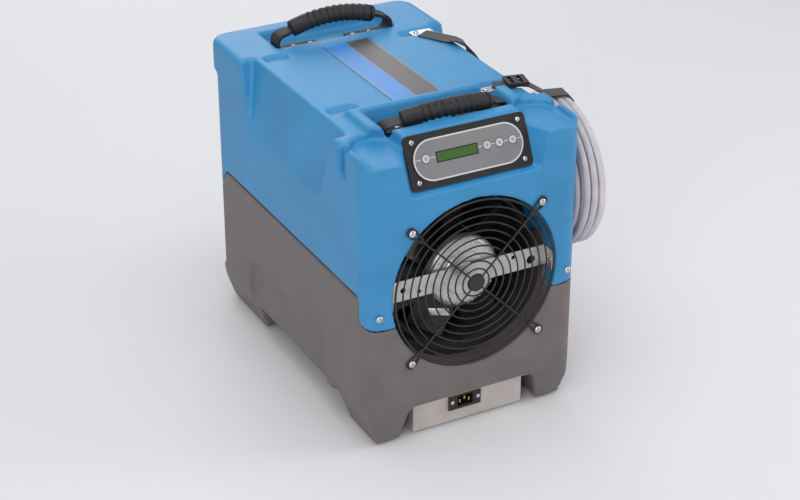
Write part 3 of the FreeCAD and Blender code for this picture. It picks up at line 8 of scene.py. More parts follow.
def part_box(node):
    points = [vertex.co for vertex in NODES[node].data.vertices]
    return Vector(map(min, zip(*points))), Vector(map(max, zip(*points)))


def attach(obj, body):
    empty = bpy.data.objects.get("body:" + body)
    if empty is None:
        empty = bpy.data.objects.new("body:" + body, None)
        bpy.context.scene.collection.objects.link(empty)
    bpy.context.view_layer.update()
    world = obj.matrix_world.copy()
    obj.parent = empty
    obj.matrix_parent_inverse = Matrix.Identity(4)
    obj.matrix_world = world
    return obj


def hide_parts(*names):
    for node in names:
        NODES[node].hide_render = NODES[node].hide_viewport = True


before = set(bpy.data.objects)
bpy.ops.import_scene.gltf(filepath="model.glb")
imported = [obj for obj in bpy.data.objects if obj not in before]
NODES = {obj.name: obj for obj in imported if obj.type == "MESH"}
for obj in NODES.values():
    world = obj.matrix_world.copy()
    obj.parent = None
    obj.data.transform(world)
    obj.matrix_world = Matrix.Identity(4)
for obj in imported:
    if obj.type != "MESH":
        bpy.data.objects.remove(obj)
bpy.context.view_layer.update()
MM = 0.001

# ---- camera ----
# The unit is seen from the front left and above, as it stands on a floor, with a long lens.
scene = bpy.context.scene
camera_data = bpy.data.cameras.new("camera")
camera_data.sensor_width = 36
camera_data.lens = 87.4
camera_data.shift_x = -0.002
camera_data.shift_y = -0.0261
camera_data.clip_end = 30
camera = bpy.data.objects.new("camera", camera_data)
camera.location = (-1.14085, -2.1830, 1.4715)
towards = Vector((-0.03153, -0.1, 0.24)) - camera.location
camera.rotation_euler = towards.to_track_quat("-Z", "Y").to_euler()
scene.collection.objects.link(camera)
scene.camera = camera
scene.view_settings.view_transform = "Standard"


def new_material(name):
    """A material with nothing but its output, and the tree to build it in."""
    material = bpy.data.materials.new(name)
    material.use_nodes = True
    tree = material.node_tree
    tree.nodes.clear()
    return material, tree, tree.nodes.new("ShaderNodeOutputMaterial")


def socket_value(tree, socket, value):
    """Set a socket, or link it where the value is another node's output."""
    if isinstance(value, bpy.types.NodeSocket):
        tree.links.new(value, socket)
    elif hasattr(value, "__len__") and len(value) == 3 and socket.type == "RGBA":
        socket.default_value = (*value, 1)
    else:
        socket.default_value = value


def place(tree, kind, settings=None, **inputs):
    """Add a node, give it its settings and fill its inputs by name."""
    node = tree.nodes.new(kind)
    for key, value in (settings or {}).items():
        setattr(node, key, value)
    for key, value in inputs.items():
        number = key[1:]
        name = int(number) if key[0] == "i" and number.isdigit() else key.replace("_", " ")
        socket_value(tree, node.inputs[name], value)
    return node


def linear(red, green, blue):
    """A display colour, 0 to 255, as the renderer's linear one."""
    return tuple(((c / 255 + 0.055) / 1.055) ** 2.4 if c > 10 else c / 3294.6
                 for c in (red, green, blue))


# ---- floor and light ----
# A pale studio sweep under three soft lamps, so that colours come out about as they are written.
def studio_floor():
    bpy.ops.mesh.primitive_plane_add(size=30, location=(0, 0, -0.0002))
    floor = bpy.context.object
    floor.name = "floor"
    material, tree, output = new_material("floor_paper")
    shader = place(tree, "ShaderNodeBsdfPrincipled", Base_Color=(0.78, 0.78, 0.79),
                   Roughness=0.85)
    tree.links.new(shader.outputs[0], output.inputs[0])
    floor.data.materials.append(material)


def lamp(name, where, aim, size, watts, colour=(1, 1, 1)):
    data = bpy.data.lights.new(name, "AREA")
    data.shape = "RECTANGLE"
    data.size, data.size_y = size
    data.energy = watts
    data.color = colour
    holder = bpy.data.objects.new(name, data)
    holder.location = where
    holder.rotation_euler = (Vector(aim) - Vector(where)).to_track_quat("-Z", "Y").to_euler()
    scene.collection.objects.link(holder)


studio_floor()
lamp("overhead", (-0.3, -0.3, 2.6), (0, 0, 0.2), (2.2, 2.2), 26)
lamp("front_left", (-2.0, -2.4, 1.5), (0, 0, 0.2), (1.6, 1.4), 26)
lamp("right_side", (2.4, -1.2, 1.2), (0, 0, 0.25), (1.2, 1.6), 17)
lamp("behind", (0.6, 2.6, 1.4), (0, 0, 0.3), (1.6, 1.2), 16)
world = bpy.data.worlds.new("studio")
scene.world = world
world.use_nodes = True
background = world.node_tree.nodes["Background"]
background.inputs["Color"].default_value = (0.94, 0.95, 1.0, 1)
background.inputs["Strength"].default_value = 0.52

# ---- drain hose ----
# One piece of clear vinyl hose.  It leaves the barb low on the right, climbs into a coil of about
# nineteen turns laid in four columns, and its free end hangs down behind the coil.
HOSE = 9.5 * MM
COIL_MIDDLE = Vector((186.4, -132, 297)) * MM
COIL_STEP = 9.8 * MM
TURN_POINTS = 16
LEAD = [(180, 36, 100), (180.5, 4, 100), (181.5, -26, 110), (182.5, -52, 131), (180.5, -77, 158),
        (175.5, -104, 184)]
HOSE_END = [(195.5, -29, 262), (194.4, -28, 232), (194.4, -28, 214)]


def coil_points():
    """The middle line of every turn, from the bottom forwards, up and over to the rear."""
    middle_row = COIL_STEP * 2
    rows_by_column = [(3, 2, 1, 0), (0, 1, 2, 3, 4), (4, 3, 2, 1, 0), (0, 1, 2, 3, 4)]
    cells = [(column, row) for column, rows in enumerate(rows_by_column) for row in rows]
    points = []
    for turn, (column, row) in enumerate(cells):
        after = cells[min(turn + 1, len(cells) - 1)]
        last_turn = turn == len(cells) - 1
        for i in range(TURN_POINTS * 3 // 4 if last_turn else TURN_POINTS):
            share = min(max((i - TURN_POINTS + 4) / 4, 0), 1)
            angle = math.radians(-90) - 2 * math.pi * i / TURN_POINTS
            across = column + (after[0] - column) * share
            out = row + (after[1] - row) * share
            loose = 0.9 * MM * math.sin(2.1 * turn + 2 * angle) + 0.6 * MM * math.sin(turn * 4.3)
            radius = 84 * MM - middle_row + COIL_STEP * out + loose
            radius /= math.cos(math.pi / TURN_POINTS)
            side = (across - 1.5) * COIL_STEP * 1.12 + 0.9 * MM * math.sin(1.7 * turn - angle)
            points.append(COIL_MIDDLE + Vector((side, radius * math.cos(angle),
                                                radius * math.sin(angle))))
    return points


def hose_curve(name, points, radius, fineness=6):
    data = bpy.data.curves.new(name, "CURVE")
    data.dimensions = "3D"
    spline = data.splines.new("NURBS")
    spline.points.add(len(points) - 1)
    for control, point in zip(spline.points, points):
        control.co = (*point, 1)
    spline.order_u = 3
    spline.use_endpoint_u = True
    data.resolution_u = fineness
    data.bevel_depth = radius
    data.bevel_resolution = 3
    data.use_fill_caps = True
    piece = bpy.data.objects.new(name, data)
    scene.collection.objects.link(piece)
    return piece


def cloudiness():
    """Group: soft uneven cloud for a moulded or extruded skin, as a mask and a bump height."""
    group = bpy.data.node_groups.new("cloudiness", "ShaderNodeTree")
    for name, kind, default in (("Scale", "NodeSocketFloat", 30.0),
                                ("Fine Scale", "NodeSocketFloat", 900.0)):
        group.interface.new_socket(name, in_out="INPUT", socket_type=kind).default_value = default
    for name in ("Mask", "Height"):
        group.interface.new_socket(name, in_out="OUTPUT", socket_type="NodeSocketFloat")
    inside = place(group, "NodeGroupInput")
    out = place(group, "NodeGroupOutput")
    where = place(group, "ShaderNodeTexCoord")
    broad = place(group, "ShaderNodeTexNoise", Vector=where.outputs["Object"],
                  Scale=inside.outputs["Scale"], Detail=4.0, Roughness=0.55)
    fine = place(group, "ShaderNodeTexNoise", Vector=where.outputs["Object"],
                 Scale=inside.outputs["Fine Scale"], Detail=3.0, Roughness=0.6)
    blend = place(group, "ShaderNodeMath", {"operation": "MULTIPLY_ADD"},
                  i0=fine.outputs[0], i1=0.5, i2=broad.outputs[0])
    group.links.new(broad.outputs[0], out.inputs["Mask"])
    group.links.new(blend.outputs[0], out.inputs["Height"])
    return group


def edge_highlight_and_wear():
    """Group: a mask that is high on the outer edges, broken up as rubbed edges are; it lightens edges
    as wear and as a painted highlight.
    """
    group = bpy.data.node_groups.new("edge_highlight_and_wear", "ShaderNodeTree")
    for name, default in (("Start", 0.52), ("End", 0.62), ("Break Up", 60.0)):
        group.interface.new_socket(name, in_out="INPUT",
                                   socket_type="NodeSocketFloat").default_value = default
    group.interface.new_socket("Mask", in_out="OUTPUT", socket_type="NodeSocketFloat")
    inside = place(group, "NodeGroupInput")
    out = place(group, "NodeGroupOutput")
    where = place(group, "ShaderNodeTexCoord")
    shape = place(group, "ShaderNodeNewGeometry")
    noise = place(group, "ShaderNodeTexNoise", Vector=where.outputs["Object"],
                  Scale=inside.outputs["Break Up"], Detail=5.0)
    edge = place(group, "ShaderNodeMapRange", Value=shape.outputs["Pointiness"],
                 From_Min=inside.outputs["Start"], From_Max=inside.outputs["End"])
    patchy = place(group, "ShaderNodeMapRange", Value=noise.outputs[0], From_Min=0.38,
                   From_Max=0.62)
    both = place(group, "ShaderNodeMath", {"operation": "MULTIPLY"}, i0=edge.outputs[0],
                 i1=patchy.outputs[0])
    group.links.new(both.outputs[0], out.inputs["Mask"])
    return group


CLOUD = cloudiness()
EDGE_HIGHLIGHT_AND_WEAR = edge_highlight_and_wear()


def skinned(name, colour, paler, roughness, bump=0.0, cloud=30.0, fine=900.0, wear_and_highlight=None,
            wear_and_highlight_strength=0.0, metal=0.0, coat=0.0, depth=0.0004):
    """A solid finish: two close shades clouded together, a fine skin and edges lightened as rubbed
    wear and as a painted highlight.
    """
    material, tree, output = new_material(name)
    skin = place(tree, "ShaderNodeGroup", {"node_tree": CLOUD}, Scale=cloud, Fine_Scale=fine)
    shade = place(tree, "ShaderNodeMapRange", Value=skin.outputs["Mask"], From_Min=0.3,
                  From_Max=0.7)
    base = place(tree, "ShaderNodeMix", {"data_type": "RGBA"}, i0=shade.outputs[0], i6=colour,
                 i7=paler)
    colour_out = base.outputs[2]
    # the paler edge colour is partly rubbed wear and partly a painted highlight on convex edges
    if wear_and_highlight:
        rub_and_highlight = place(tree, "ShaderNodeGroup", {"node_tree": EDGE_HIGHLIGHT_AND_WEAR})
        strength = place(tree, "ShaderNodeMath", {"operation": "MULTIPLY"},
                         i0=rub_and_highlight.outputs["Mask"], i1=wear_and_highlight_strength)
        colour_out = place(tree, "ShaderNodeMix", {"data_type": "RGBA"},
                           i0=strength.outputs[0], i6=base.outputs[2], i7=wear_and_highlight).outputs[2]
    rough = place(tree, "ShaderNodeMapRange", Value=skin.outputs["Mask"], From_Min=0.2,
                  From_Max=0.8, To_Min=roughness - 0.06, To_Max=roughness + 0.08)
    shader = place(tree, "ShaderNodeBsdfPrincipled", Base_Color=colour_out,
                   Roughness=rough.outputs[0], Metallic=metal)
    if coat:
        shader.inputs["Coat Weight"].default_value = coat
        shader.inputs["Coat Roughness"].default_value = 0.15
    if bump:
        relief = place(tree, "ShaderNodeBump", Height=skin.outputs["Height"], Strength=bump,
                       Distance=depth)
        tree.links.new(relief.outputs[0], shader.inputs["Normal"])
    tree.links.new(shader.outputs[0], output.inputs[0])
    return material


def clear_vinyl():
    """Milky clear hose: pale and glossy, clouded with a little mauve."""
    material, tree, output = new_material("clear_vinyl")
    skin = place(tree, "ShaderNodeGroup", {"node_tree": CLOUD}, Scale=26.0, Fine_Scale=220.0)
    shade = place(tree, "ShaderNodeMapRange", Value=skin.outputs["Mask"], From_Min=0.35,
                  From_Max=0.65)
    base = place(tree, "ShaderNodeMix", {"data_type": "RGBA"}, i0=shade.outputs[0],
                 i6=linear(240, 236, 239), i7=linear(216, 208, 217))
    rough = place(tree, "ShaderNodeMapRange", Value=skin.outputs["Height"], From_Min=0.5,
                  From_Max=1.0, To_Min=0.14, To_Max=0.24)
    shader = place(tree, "ShaderNodeBsdfPrincipled", Base_Color=base.outputs[2],
                   Roughness=rough.outputs[0], Transmission_Weight=0.35, IOR=1.45)
    relief = place(tree, "ShaderNodeBump", Height=skin.outputs["Height"], Strength=0.15,
                   Distance=0.0004)
    tree.links.new(relief.outputs[0], shader.inputs["Normal"])
    tree.links.new(shader.outputs[0], output.inputs[0])
    return material


hose_points = [Vector(p) * MM for p in LEAD] + coil_points()
hose_points += [Vector(p) * MM for p in HOSE_END]
hose = hose_curve("drain_hose", hose_points, HOSE / 2)
hose.data.materials.append(clear_vinyl())
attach(hose, "root")
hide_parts("drain_hose_coil", "drain_hose_lead")

# ---- housings ----
# Two hollow mouldings of polyethylene, blue above and warm grey below.  Rotational moulding gives
# them even walls, generous round edges and a faintly mottled, orange-peel skin.
def soft_moulding(node, voxel, passes, share):
    """The node's walls with every edge rounded as a moulding's is."""
    mesh = NODES[node].data.copy()
    shape = bmesh.new()
    shape.from_mesh(mesh)
    bmesh.ops.remove_doubles(shape, verts=shape.verts, dist=0.00002)
    shape.to_mesh(mesh)
    shape.free()
    piece = bpy.data.objects.new(node + "_moulding", mesh)
    scene.collection.objects.link(piece)
    remesh = piece.modifiers.new("walls", "REMESH")
    remesh.mode = "VOXEL"
    remesh.voxel_size = voxel
    smooth = piece.modifiers.new("round_edges", "SMOOTH")
    smooth.factor = 0.5
    smooth.iterations = passes
    thin = piece.modifiers.new("lighter", "DECIMATE")
    thin.ratio = share
    bpy.context.view_layer.update()
    finished = bpy.data.meshes.new_from_object(
        piece.evaluated_get(bpy.context.evaluated_depsgraph_get()))
    piece.modifiers.clear()
    piece.data = finished
    finished.materials.clear()
    finished.shade_smooth()
    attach(piece, "root")
    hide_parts(node)
    return piece


VOXEL = 2.4 * MM
# both housings get paler edges that are partly wear and partly a painted highlight
BLUE = skinned("blue_polyethylene", linear(44, 132, 184), linear(56, 145, 197), 0.45, bump=0.22,
               cloud=14.0, fine=700.0, wear_and_highlight=linear(96, 168, 212), wear_and_highlight_strength=0.35)
GREY = skinned("grey_polyethylene", linear(104, 96, 96), linear(116, 108, 107), 0.52, bump=0.24,
               cloud=18.0, fine=700.0, wear_and_highlight=linear(138, 130, 128), wear_and_highlight_strength=0.35)
upper = soft_moulding("upper_housing", VOXEL, 6, 0.68)
upper.data.materials.append(BLUE)
lower = soft_moulding("lower_housing", VOXEL, 6, 0.68)
lower.data.materials.append(GREY)

# ---- feet, and how every carried-over sub-part is finished ----
# Four black rubber pads sit under the hollow feet.  A turned or stamped sub-part keeps its own
# shape: its faces are joined up, its sharp edges get a small round and its finish is set.
def finished(node, material, edge=0.0, sharp=32):
    """Give a carried-over sub-part its material, with joined faces and softened edges."""
    piece = NODES[node]
    piece.data.materials.clear()
    piece.data.materials.append(material)
    piece.data.shade_smooth()
    weld = piece.modifiers.new("join_faces", "WELD")
    weld.merge_threshold = 0.00001
    if edge:
        flat = piece.modifiers.new("whole_faces", "DECIMATE")
        flat.decimate_type = "DISSOLVE"
        flat.angle_limit = math.radians(1.5)
        rounding = piece.modifiers.new("soft_edges", "BEVEL")
        rounding.width = edge
        rounding.segments = 2
        rounding.limit_method = "ANGLE"
        rounding.angle_limit = math.radians(sharp)
        normals = piece.modifiers.new("even_shade", "WEIGHTED_NORMAL")
        normals.keep_sharp = True
    else:
        split = piece.modifiers.new("crisp_edges", "EDGE_SPLIT")
        split.split_angle = math.radians(sharp)
    return piece


RUBBER = skinned("black_rubber", linear(28, 27, 28), linear(38, 36, 36), 0.55, bump=0.2,
                 cloud=60.0, fine=1400.0)
finished("foot_pads", RUBBER, edge=1.0 * MM)


def new_piece(name, shape, material, body="root", smooth=True):
    """Turn a finished bmesh into a piece that rides on a body."""
    mesh = bpy.data.meshes.new(name)
    bmesh.ops.recalc_face_normals(shape, faces=shape.faces)
    shape.to_mesh(mesh)
    shape.free()
    if smooth:
        mesh.shade_smooth()
    piece = bpy.data.objects.new(name, mesh)
    scene.collection.objects.link(piece)
    mesh.materials.append(material)
    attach(piece, body)
    return piece


def crisp(piece, sharp=35):
    split = piece.modifiers.new("crisp_edges", "EDGE_SPLIT")
    split.split_angle = math.radians(sharp)
    return piece


# ---- screws ----
# Bright zinc-plated pan heads with a cross recess, the same shape in five sizes.
PLATED = skinned("bright_zinc", linear(196, 194, 198), linear(214, 212, 214), 0.24, cloud=260.0,
                 fine=2500.0, metal=1.0)


def screw_heads(name, node, places, radius, height):
    """Domed heads at places, each a point under the head and the way it points."""
    one = bmesh.new()
    radius, height = radius / MM, height / MM
    profile = [(0, height), (radius * 0.5, height * 0.93), (radius * 0.85, height * 0.6),
               (radius, height * 0.18), (radius, -0.4), (0, -0.4)]
    line = [one.verts.new((r, 0, z)) for r, z in profile]
    for a, b in zip(line, line[1:]):
        one.edges.new((a, b))
    bmesh.ops.spin(one, geom=one.verts[:] + one.edges[:], cent=(0, 0, 0), axis=(0, 0, 1),
                   angle=2 * math.pi, steps=24, use_merge=True)
    bmesh.ops.remove_doubles(one, verts=one.verts, dist=0.000001)
    cross = bmesh.new()
    for turn in (0, 90):
        size = Matrix.Diagonal((radius * 1.15, radius * 0.24, height * 0.5, 1))
        bmesh.ops.create_cube(cross, size=1, matrix=Matrix.Translation((0, 0, height * 0.80))
                              @ Matrix.Rotation(math.radians(turn + 20), 4, "Z") @ size)
    shapes = []
    for label, part in (("head", one), ("cross", cross)):
        mesh = bpy.data.meshes.new(f"{name}_{label}")
        bmesh.ops.recalc_face_normals(part, faces=part.faces)
        part.to_mesh(mesh)
        part.free()
        holder = bpy.data.objects.new(f"{name}_{label}", mesh)
        scene.collection.objects.link(holder)
        shapes.append(holder)
    head, cutter = shapes
    recess = head.modifiers.new("cross_recess", "BOOLEAN")
    recess.operation = "DIFFERENCE"
    recess.object = cutter
    recess.use_self = True
    bpy.context.view_layer.update()
    cut = bpy.data.meshes.new_from_object(
        head.evaluated_get(bpy.context.evaluated_depsgraph_get()))
    together = bmesh.new()
    for i, (point, way) in enumerate(places):
        turn = Vector(way).to_track_quat("Z", "X").to_matrix().to_4x4()
        spin = Matrix.Rotation(math.radians(37 * i), 4, "Z")
        before = len(together.verts)
        together.from_mesh(cut)
        together.verts.ensure_lookup_table()
        bmesh.ops.transform(together, matrix=Matrix.Translation(Vector(point)) @ turn @ spin
                            @ Matrix.Scale(MM, 4), verts=together.verts[before:])
    for holder in (head, cutter):
        bpy.data.objects.remove(holder)
    piece = new_piece(name, together, PLATED)
    crisp(piece, 40)
    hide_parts(node)
    return piece


FRONT, BACK, UP = (0, -1, 0), (0, 1, 0), (0, 0, 1)
TILT = math.radians(25.5)
PANEL_MIDDLE = Vector((0, -225.1, 402.95)) * MM
PANEL_UP = Vector((0, math.sin(TILT), math.cos(TILT)))
PANEL_OUT = Vector((0, -math.cos(TILT), math.sin(TILT)))


def on_panel(u, v, out=0.0):
    return PANEL_MIDDLE + Vector((1, 0, 0)) * u * MM + PANEL_UP * v * MM + PANEL_OUT * out * MM


EAR = 97.3
FAN_Z = 222
screw_heads("housing_screw_heads", "housing_screws",
            [((x * MM, -250 * MM, 204 * MM), FRONT) for x in (-143.4, 143.4)]
            + [((x * MM, 240 * MM, 211 * MM), BACK) for x in (-130, 130)], 5.0 * MM, 2.6 * MM)
screw_heads("guard_screw_heads", "fan_guard_screws",
            [((sx * EAR * MM, -253.3 * MM, (FAN_Z + sz * EAR) * MM), FRONT)
             for sx in (-1, 1) for sz in (-1, 1)], 5.2 * MM, 2.6 * MM)
screw_heads("deck_screw_heads", "deck_screws",
            [((x * MM, row * MM, 416.85 * MM), UP) for row in (-142, 173)
             for x in (-61, -34, 34, 61)]
            + [((93 * MM, -107 * MM, 425.1 * MM), UP), ((108 * MM, 118 * MM, 425.1 * MM), UP)],
            4.2 * MM, 2.3 * MM)
screw_heads("panel_screw_heads", "panel_screws",
            [(on_panel(x, y, 0.2), PANEL_OUT) for x in (-78.5, 78.5) for y in (26.7, -25.8)],
            3.7 * MM, 2.3 * MM)
finished("motor_bar_screws", PLATED)
finished("inlet_screws", PLATED)

# ---- fan guard ----
# Welded steel wire, black powder coated: rings, four spokes, a hub disc and a hairpin loop at
# each end of the spokes, where a screw clamps it to the housing.
POWDER = skinned("black_powder_coat", linear(27, 25, 25), linear(36, 34, 33), 0.34, bump=0.12,
                 cloud=90.0, fine=1500.0)
RING_COUNT = 10
OUTER_RING, INNER_RING = 120.6 * MM, 20 * MM
GUARD_Y = -250.0 * MM
FAN_MIDDLE = Vector((0, GUARD_Y, FAN_Z * MM))


def wire_ring(shape, radius, wire, y):
    middle = Vector((0, y, FAN_Z * MM))
    made = bmesh.ops.create_circle(shape, segments=10, radius=wire,
                                   matrix=Matrix.Translation(middle + Vector((radius, 0, 0))))
    section = made["verts"]
    edges = list({edge for vert in section for edge in vert.link_edges})
    bmesh.ops.spin(shape, geom=section + edges, cent=middle, axis=(0, 1, 0),
                   angle=2 * math.pi, steps=96, use_merge=True)


def straight_wire(shape, start, end, wire):
    way = end - start
    bmesh.ops.create_cone(shape, cap_ends=True, segments=10, radius1=wire, radius2=wire,
                          depth=way.length, matrix=Matrix.Translation((start + end) / 2)
                          @ way.to_track_quat("Z", "X").to_matrix().to_4x4())


def add_curve(shape, points, radius):
    """Add the mesh of a smooth round wire through control points."""
    holder = hose_curve("wire_form", points, radius)
    bpy.context.view_layer.update()
    mesh = bpy.data.meshes.new_from_object(
        holder.evaluated_get(bpy.context.evaluated_depsgraph_get()))
    shape.from_mesh(mesh)
    bpy.data.objects.remove(holder)


guard = bmesh.new()
for i in range(RING_COUNT):
    size = OUTER_RING - (OUTER_RING - INNER_RING) * i / (RING_COUNT - 1)
    wire_ring(guard, size, (1.5 if i == 0 else 1.15) * MM, GUARD_Y + 0.2 * MM)
for sx in (-1, 1):
    for sz in (-1, 1):
        out = Vector((sx, 0, sz)).normalized()
        across = Vector((-out.z, 0, out.x))
        eye = Vector((sx * EAR * MM, GUARD_Y - 1.9 * MM, (FAN_Z + sz * EAR) * MM))
        hub = FAN_MIDDLE + Vector((0, -1.9 * MM, 0))
        straight_wire(guard, hub + out * 9 * MM, hub + out * 121.5 * MM, 1.35 * MM)
        pin = [(-22, 2.2), (-14, 3.0), (-6, 5.0), (0, 5.6), (5.6, 5.0), (7.2, 0)]
        loop = [eye + out * a * MM + across * b * MM for a, b in pin]
        loop += [eye + out * a * MM - across * b * MM for a, b in pin[-2::-1]]
        add_curve(guard, loop, 1.5 * MM)
bmesh.ops.create_cone(guard, cap_ends=True, segments=48, radius1=13 * MM, radius2=12 * MM,
                      depth=2.6 * MM, matrix=Matrix.Translation(FAN_MIDDLE - Vector((0, 1.3 * MM, 0)))
                      @ Matrix.Rotation(math.radians(90), 4, "X"))
guard_piece = crisp(new_piece("wire_guard", guard, POWDER))
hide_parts("fan_guard")

# ---- fan motor, its bar and the fan ----
# A zinc-plated bar spans the opening and carries a die-cast motor with cooling ribs; the black
# moulded fan turns behind it inside a stamped ring.
ZINC = skinned("zinc_strip", linear(200, 196, 192), linear(222, 218, 214), 0.33, bump=0.1,
               cloud=70.0, fine=1800.0, metal=0.85)
CAST = skinned("die_cast", linear(206, 203, 200), linear(226, 223, 220), 0.32, bump=0.4,
               cloud=60.0, fine=900.0, metal=0.7)
GLOSS_BLACK = skinned("fan_plastic", linear(30, 29, 30), linear(38, 36, 37), 0.22, bump=0.08,
                      cloud=40.0, fine=500.0)
# its paler edges are partly wear and partly a painted highlight
BLACK = skinned("black_plastic", linear(26, 24, 24), linear(34, 32, 32), 0.46, bump=0.18,
                cloud=50.0, fine=1300.0, wear_and_highlight=linear(90, 88, 88), wear_and_highlight_strength=0.15)
finished("motor_bar", ZINC, edge=0.3 * MM)
motor_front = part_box("fan_motor")[0].y
motor = bmesh.new()
motor_profile = [(0, 1.2), (14, 0.6), (16, 2.6), (30, 1.4), (32, 3.4), (43, 2.6), (46.5, 4.0),
                 (50.5, 6.5), (52, 9), (52, 17.9), (0, 17.9)]
outline = [motor.verts.new((r * MM, motor_front + depth * MM, FAN_Z * MM))
           for r, depth in motor_profile]
for a, b in zip(outline, outline[1:]):
    motor.edges.new((a, b))
bmesh.ops.spin(motor, geom=motor.verts[:] + motor.edges[:], cent=(0, 0, FAN_Z * MM),
               axis=(0, 1, 0), angle=2 * math.pi, steps=72, use_merge=True)
bmesh.ops.remove_doubles(motor, verts=motor.verts, dist=0.000001)
RIBS = 24
for i in range(RIBS):
    way = Matrix.Rotation(2 * math.pi * i / RIBS, 4, "Y")
    rib = Matrix.Diagonal((17 * MM, 2.6 * MM, 1.5 * MM, 1))
    bmesh.ops.create_cube(motor, size=1, matrix=Matrix.Translation(
        (0, motor_front + 3.0 * MM, FAN_Z * MM)) @ way @ Matrix.Translation((38 * MM, 0, 0)) @ rib)
motor_piece = crisp(new_piece("cast_motor", motor, CAST), 30)
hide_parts("fan_motor")
finished("fan_impeller", GLOSS_BLACK)
# a plain metal plate lies flat on the front of one blade
BLADE_POINT = (-27, -191.1, 155)
BLADE_SLOPE_ACROSS = -0.564
BLADE_SLOPE_UP = 0.278
PLATE_BACK, PLATE_FRONT = 0.15, 0.7


def on_blade(x, z, proud):
    """A point on that blade's sloping front, or a little proud of it."""
    depth = (BLADE_POINT[1] + BLADE_SLOPE_ACROSS * (x - BLADE_POINT[0])
             + BLADE_SLOPE_UP * (z - BLADE_POINT[2]))
    return Vector((x, depth - proud, z)) * MM


plate = bmesh.new()
plate_corners = [(-37, 150), (-12, 150), (-12, 159.5), (-37, 159.5)]
plate_back, plate_face = [[plate.verts.new(on_blade(x, z, proud)) for x, z in plate_corners]
                          for proud in (PLATE_BACK, PLATE_FRONT)]
plate.faces.new(plate_back)
plate.faces.new(plate_face)
for i in range(4):
    plate.faces.new((plate_back[i], plate_back[i - 1], plate_face[i - 1], plate_face[i]))
bmesh.ops.bevel(plate, geom=plate.edges[:], offset=0.15 * MM, segments=2, profile=0.5,
                affect="EDGES", material=-1)
crisp(new_piece("blade_plate", plate, ZINC, body="fan"), 30)
finished("fan_shaft", PLATED)
finished("fan_ring", BLACK)

# ---- control panel ----
# A black moulded bezel holds a printed film with a pale outline.  Behind it are a green display
# window and four domed keys joined by a thin printed line.
finished("panel_bezel", BLACK, edge=0.8 * MM)


def panel_place(tree):
    """Sockets for the place on the panel: across and up, in millimetres."""
    where = place(tree, "ShaderNodeTexCoord")
    shifted = place(tree, "ShaderNodeVectorMath", {"operation": "SUBTRACT"},
                    i0=where.outputs["Object"], i1=tuple(PANEL_MIDDLE))
    sockets = []
    for way in (Vector((1, 0, 0)), PANEL_UP):
        along = place(tree, "ShaderNodeVectorMath", {"operation": "DOT_PRODUCT"},
                      i0=shifted.outputs[0], i1=tuple(way))
        sockets.append(place(tree, "ShaderNodeMath", {"operation": "MULTIPLY"},
                             i0=along.outputs["Value"], i1=1000.0).outputs[0])
    return sockets


def maths(tree, operation, first, second=0.0):
    return place(tree, "ShaderNodeMath", {"operation": operation}, i0=first,
                 i1=second).outputs[0]


def between(tree, value, low, high):
    """1 inside a span and 0 outside it."""
    over = maths(tree, "GREATER_THAN", value, low)
    return maths(tree, "MULTIPLY", over, maths(tree, "LESS_THAN", value, high))


def film():
    """Grey printed film: a pale stadium outline, a line through the keys, a fine dot grain."""
    material, tree, output = new_material("overlay_film")
    across, up = panel_place(tree)
    beyond = maths(tree, "MAXIMUM", maths(tree, "SUBTRACT", maths(tree, "ABSOLUTE", across),
                                          53.5), 0.0)
    reach = maths(tree, "SQRT", maths(tree, "ADD", maths(tree, "MULTIPLY", beyond, beyond),
                                      maths(tree, "MULTIPLY", up, up)))
    outline_mask = between(tree, reach, 25.4, 27.3)
    key_line = maths(tree, "MULTIPLY", between(tree, up, 2.3, 3.2), between(
        tree, maths(tree, "ABSOLUTE", across), 13.9, 80.0))
    key_line = maths(tree, "MULTIPLY", key_line, maths(tree, "LESS_THAN", reach, 26.0))
    right_of_window = maths(tree, "GREATER_THAN", across, 14.0)
    left_of_window = maths(tree, "LESS_THAN", across, -48.5)
    key_line = maths(tree, "MULTIPLY", key_line,
                     maths(tree, "MAXIMUM", right_of_window, left_of_window))
    pale = maths(tree, "MAXIMUM", outline_mask, key_line)
    dark_rim = maths(tree, "GREATER_THAN", reach, 27.3)
    skin = place(tree, "ShaderNodeGroup", {"node_tree": CLOUD}, Scale=30.0, Fine_Scale=1600.0)
    field = place(tree, "ShaderNodeMix", {"data_type": "RGBA"}, i0=skin.outputs["Mask"],
                  i6=linear(118, 118, 119), i7=linear(136, 136, 137))
    rimmed = place(tree, "ShaderNodeMix", {"data_type": "RGBA"}, i0=dark_rim,
                   i6=field.outputs[2], i7=linear(46, 44, 44))
    printed = place(tree, "ShaderNodeMix", {"data_type": "RGBA"}, i0=pale,
                    i6=rimmed.outputs[2], i7=linear(214, 209, 211))
    shader = place(tree, "ShaderNodeBsdfPrincipled", Base_Color=printed.outputs[2],
                   Roughness=0.38)
    relief = place(tree, "ShaderNodeBump", Height=skin.outputs["Height"], Strength=0.1,
                   Distance=0.0002)
    tree.links.new(relief.outputs[0], shader.inputs["Normal"])
    tree.links.new(shader.outputs[0], output.inputs[0])
    return material


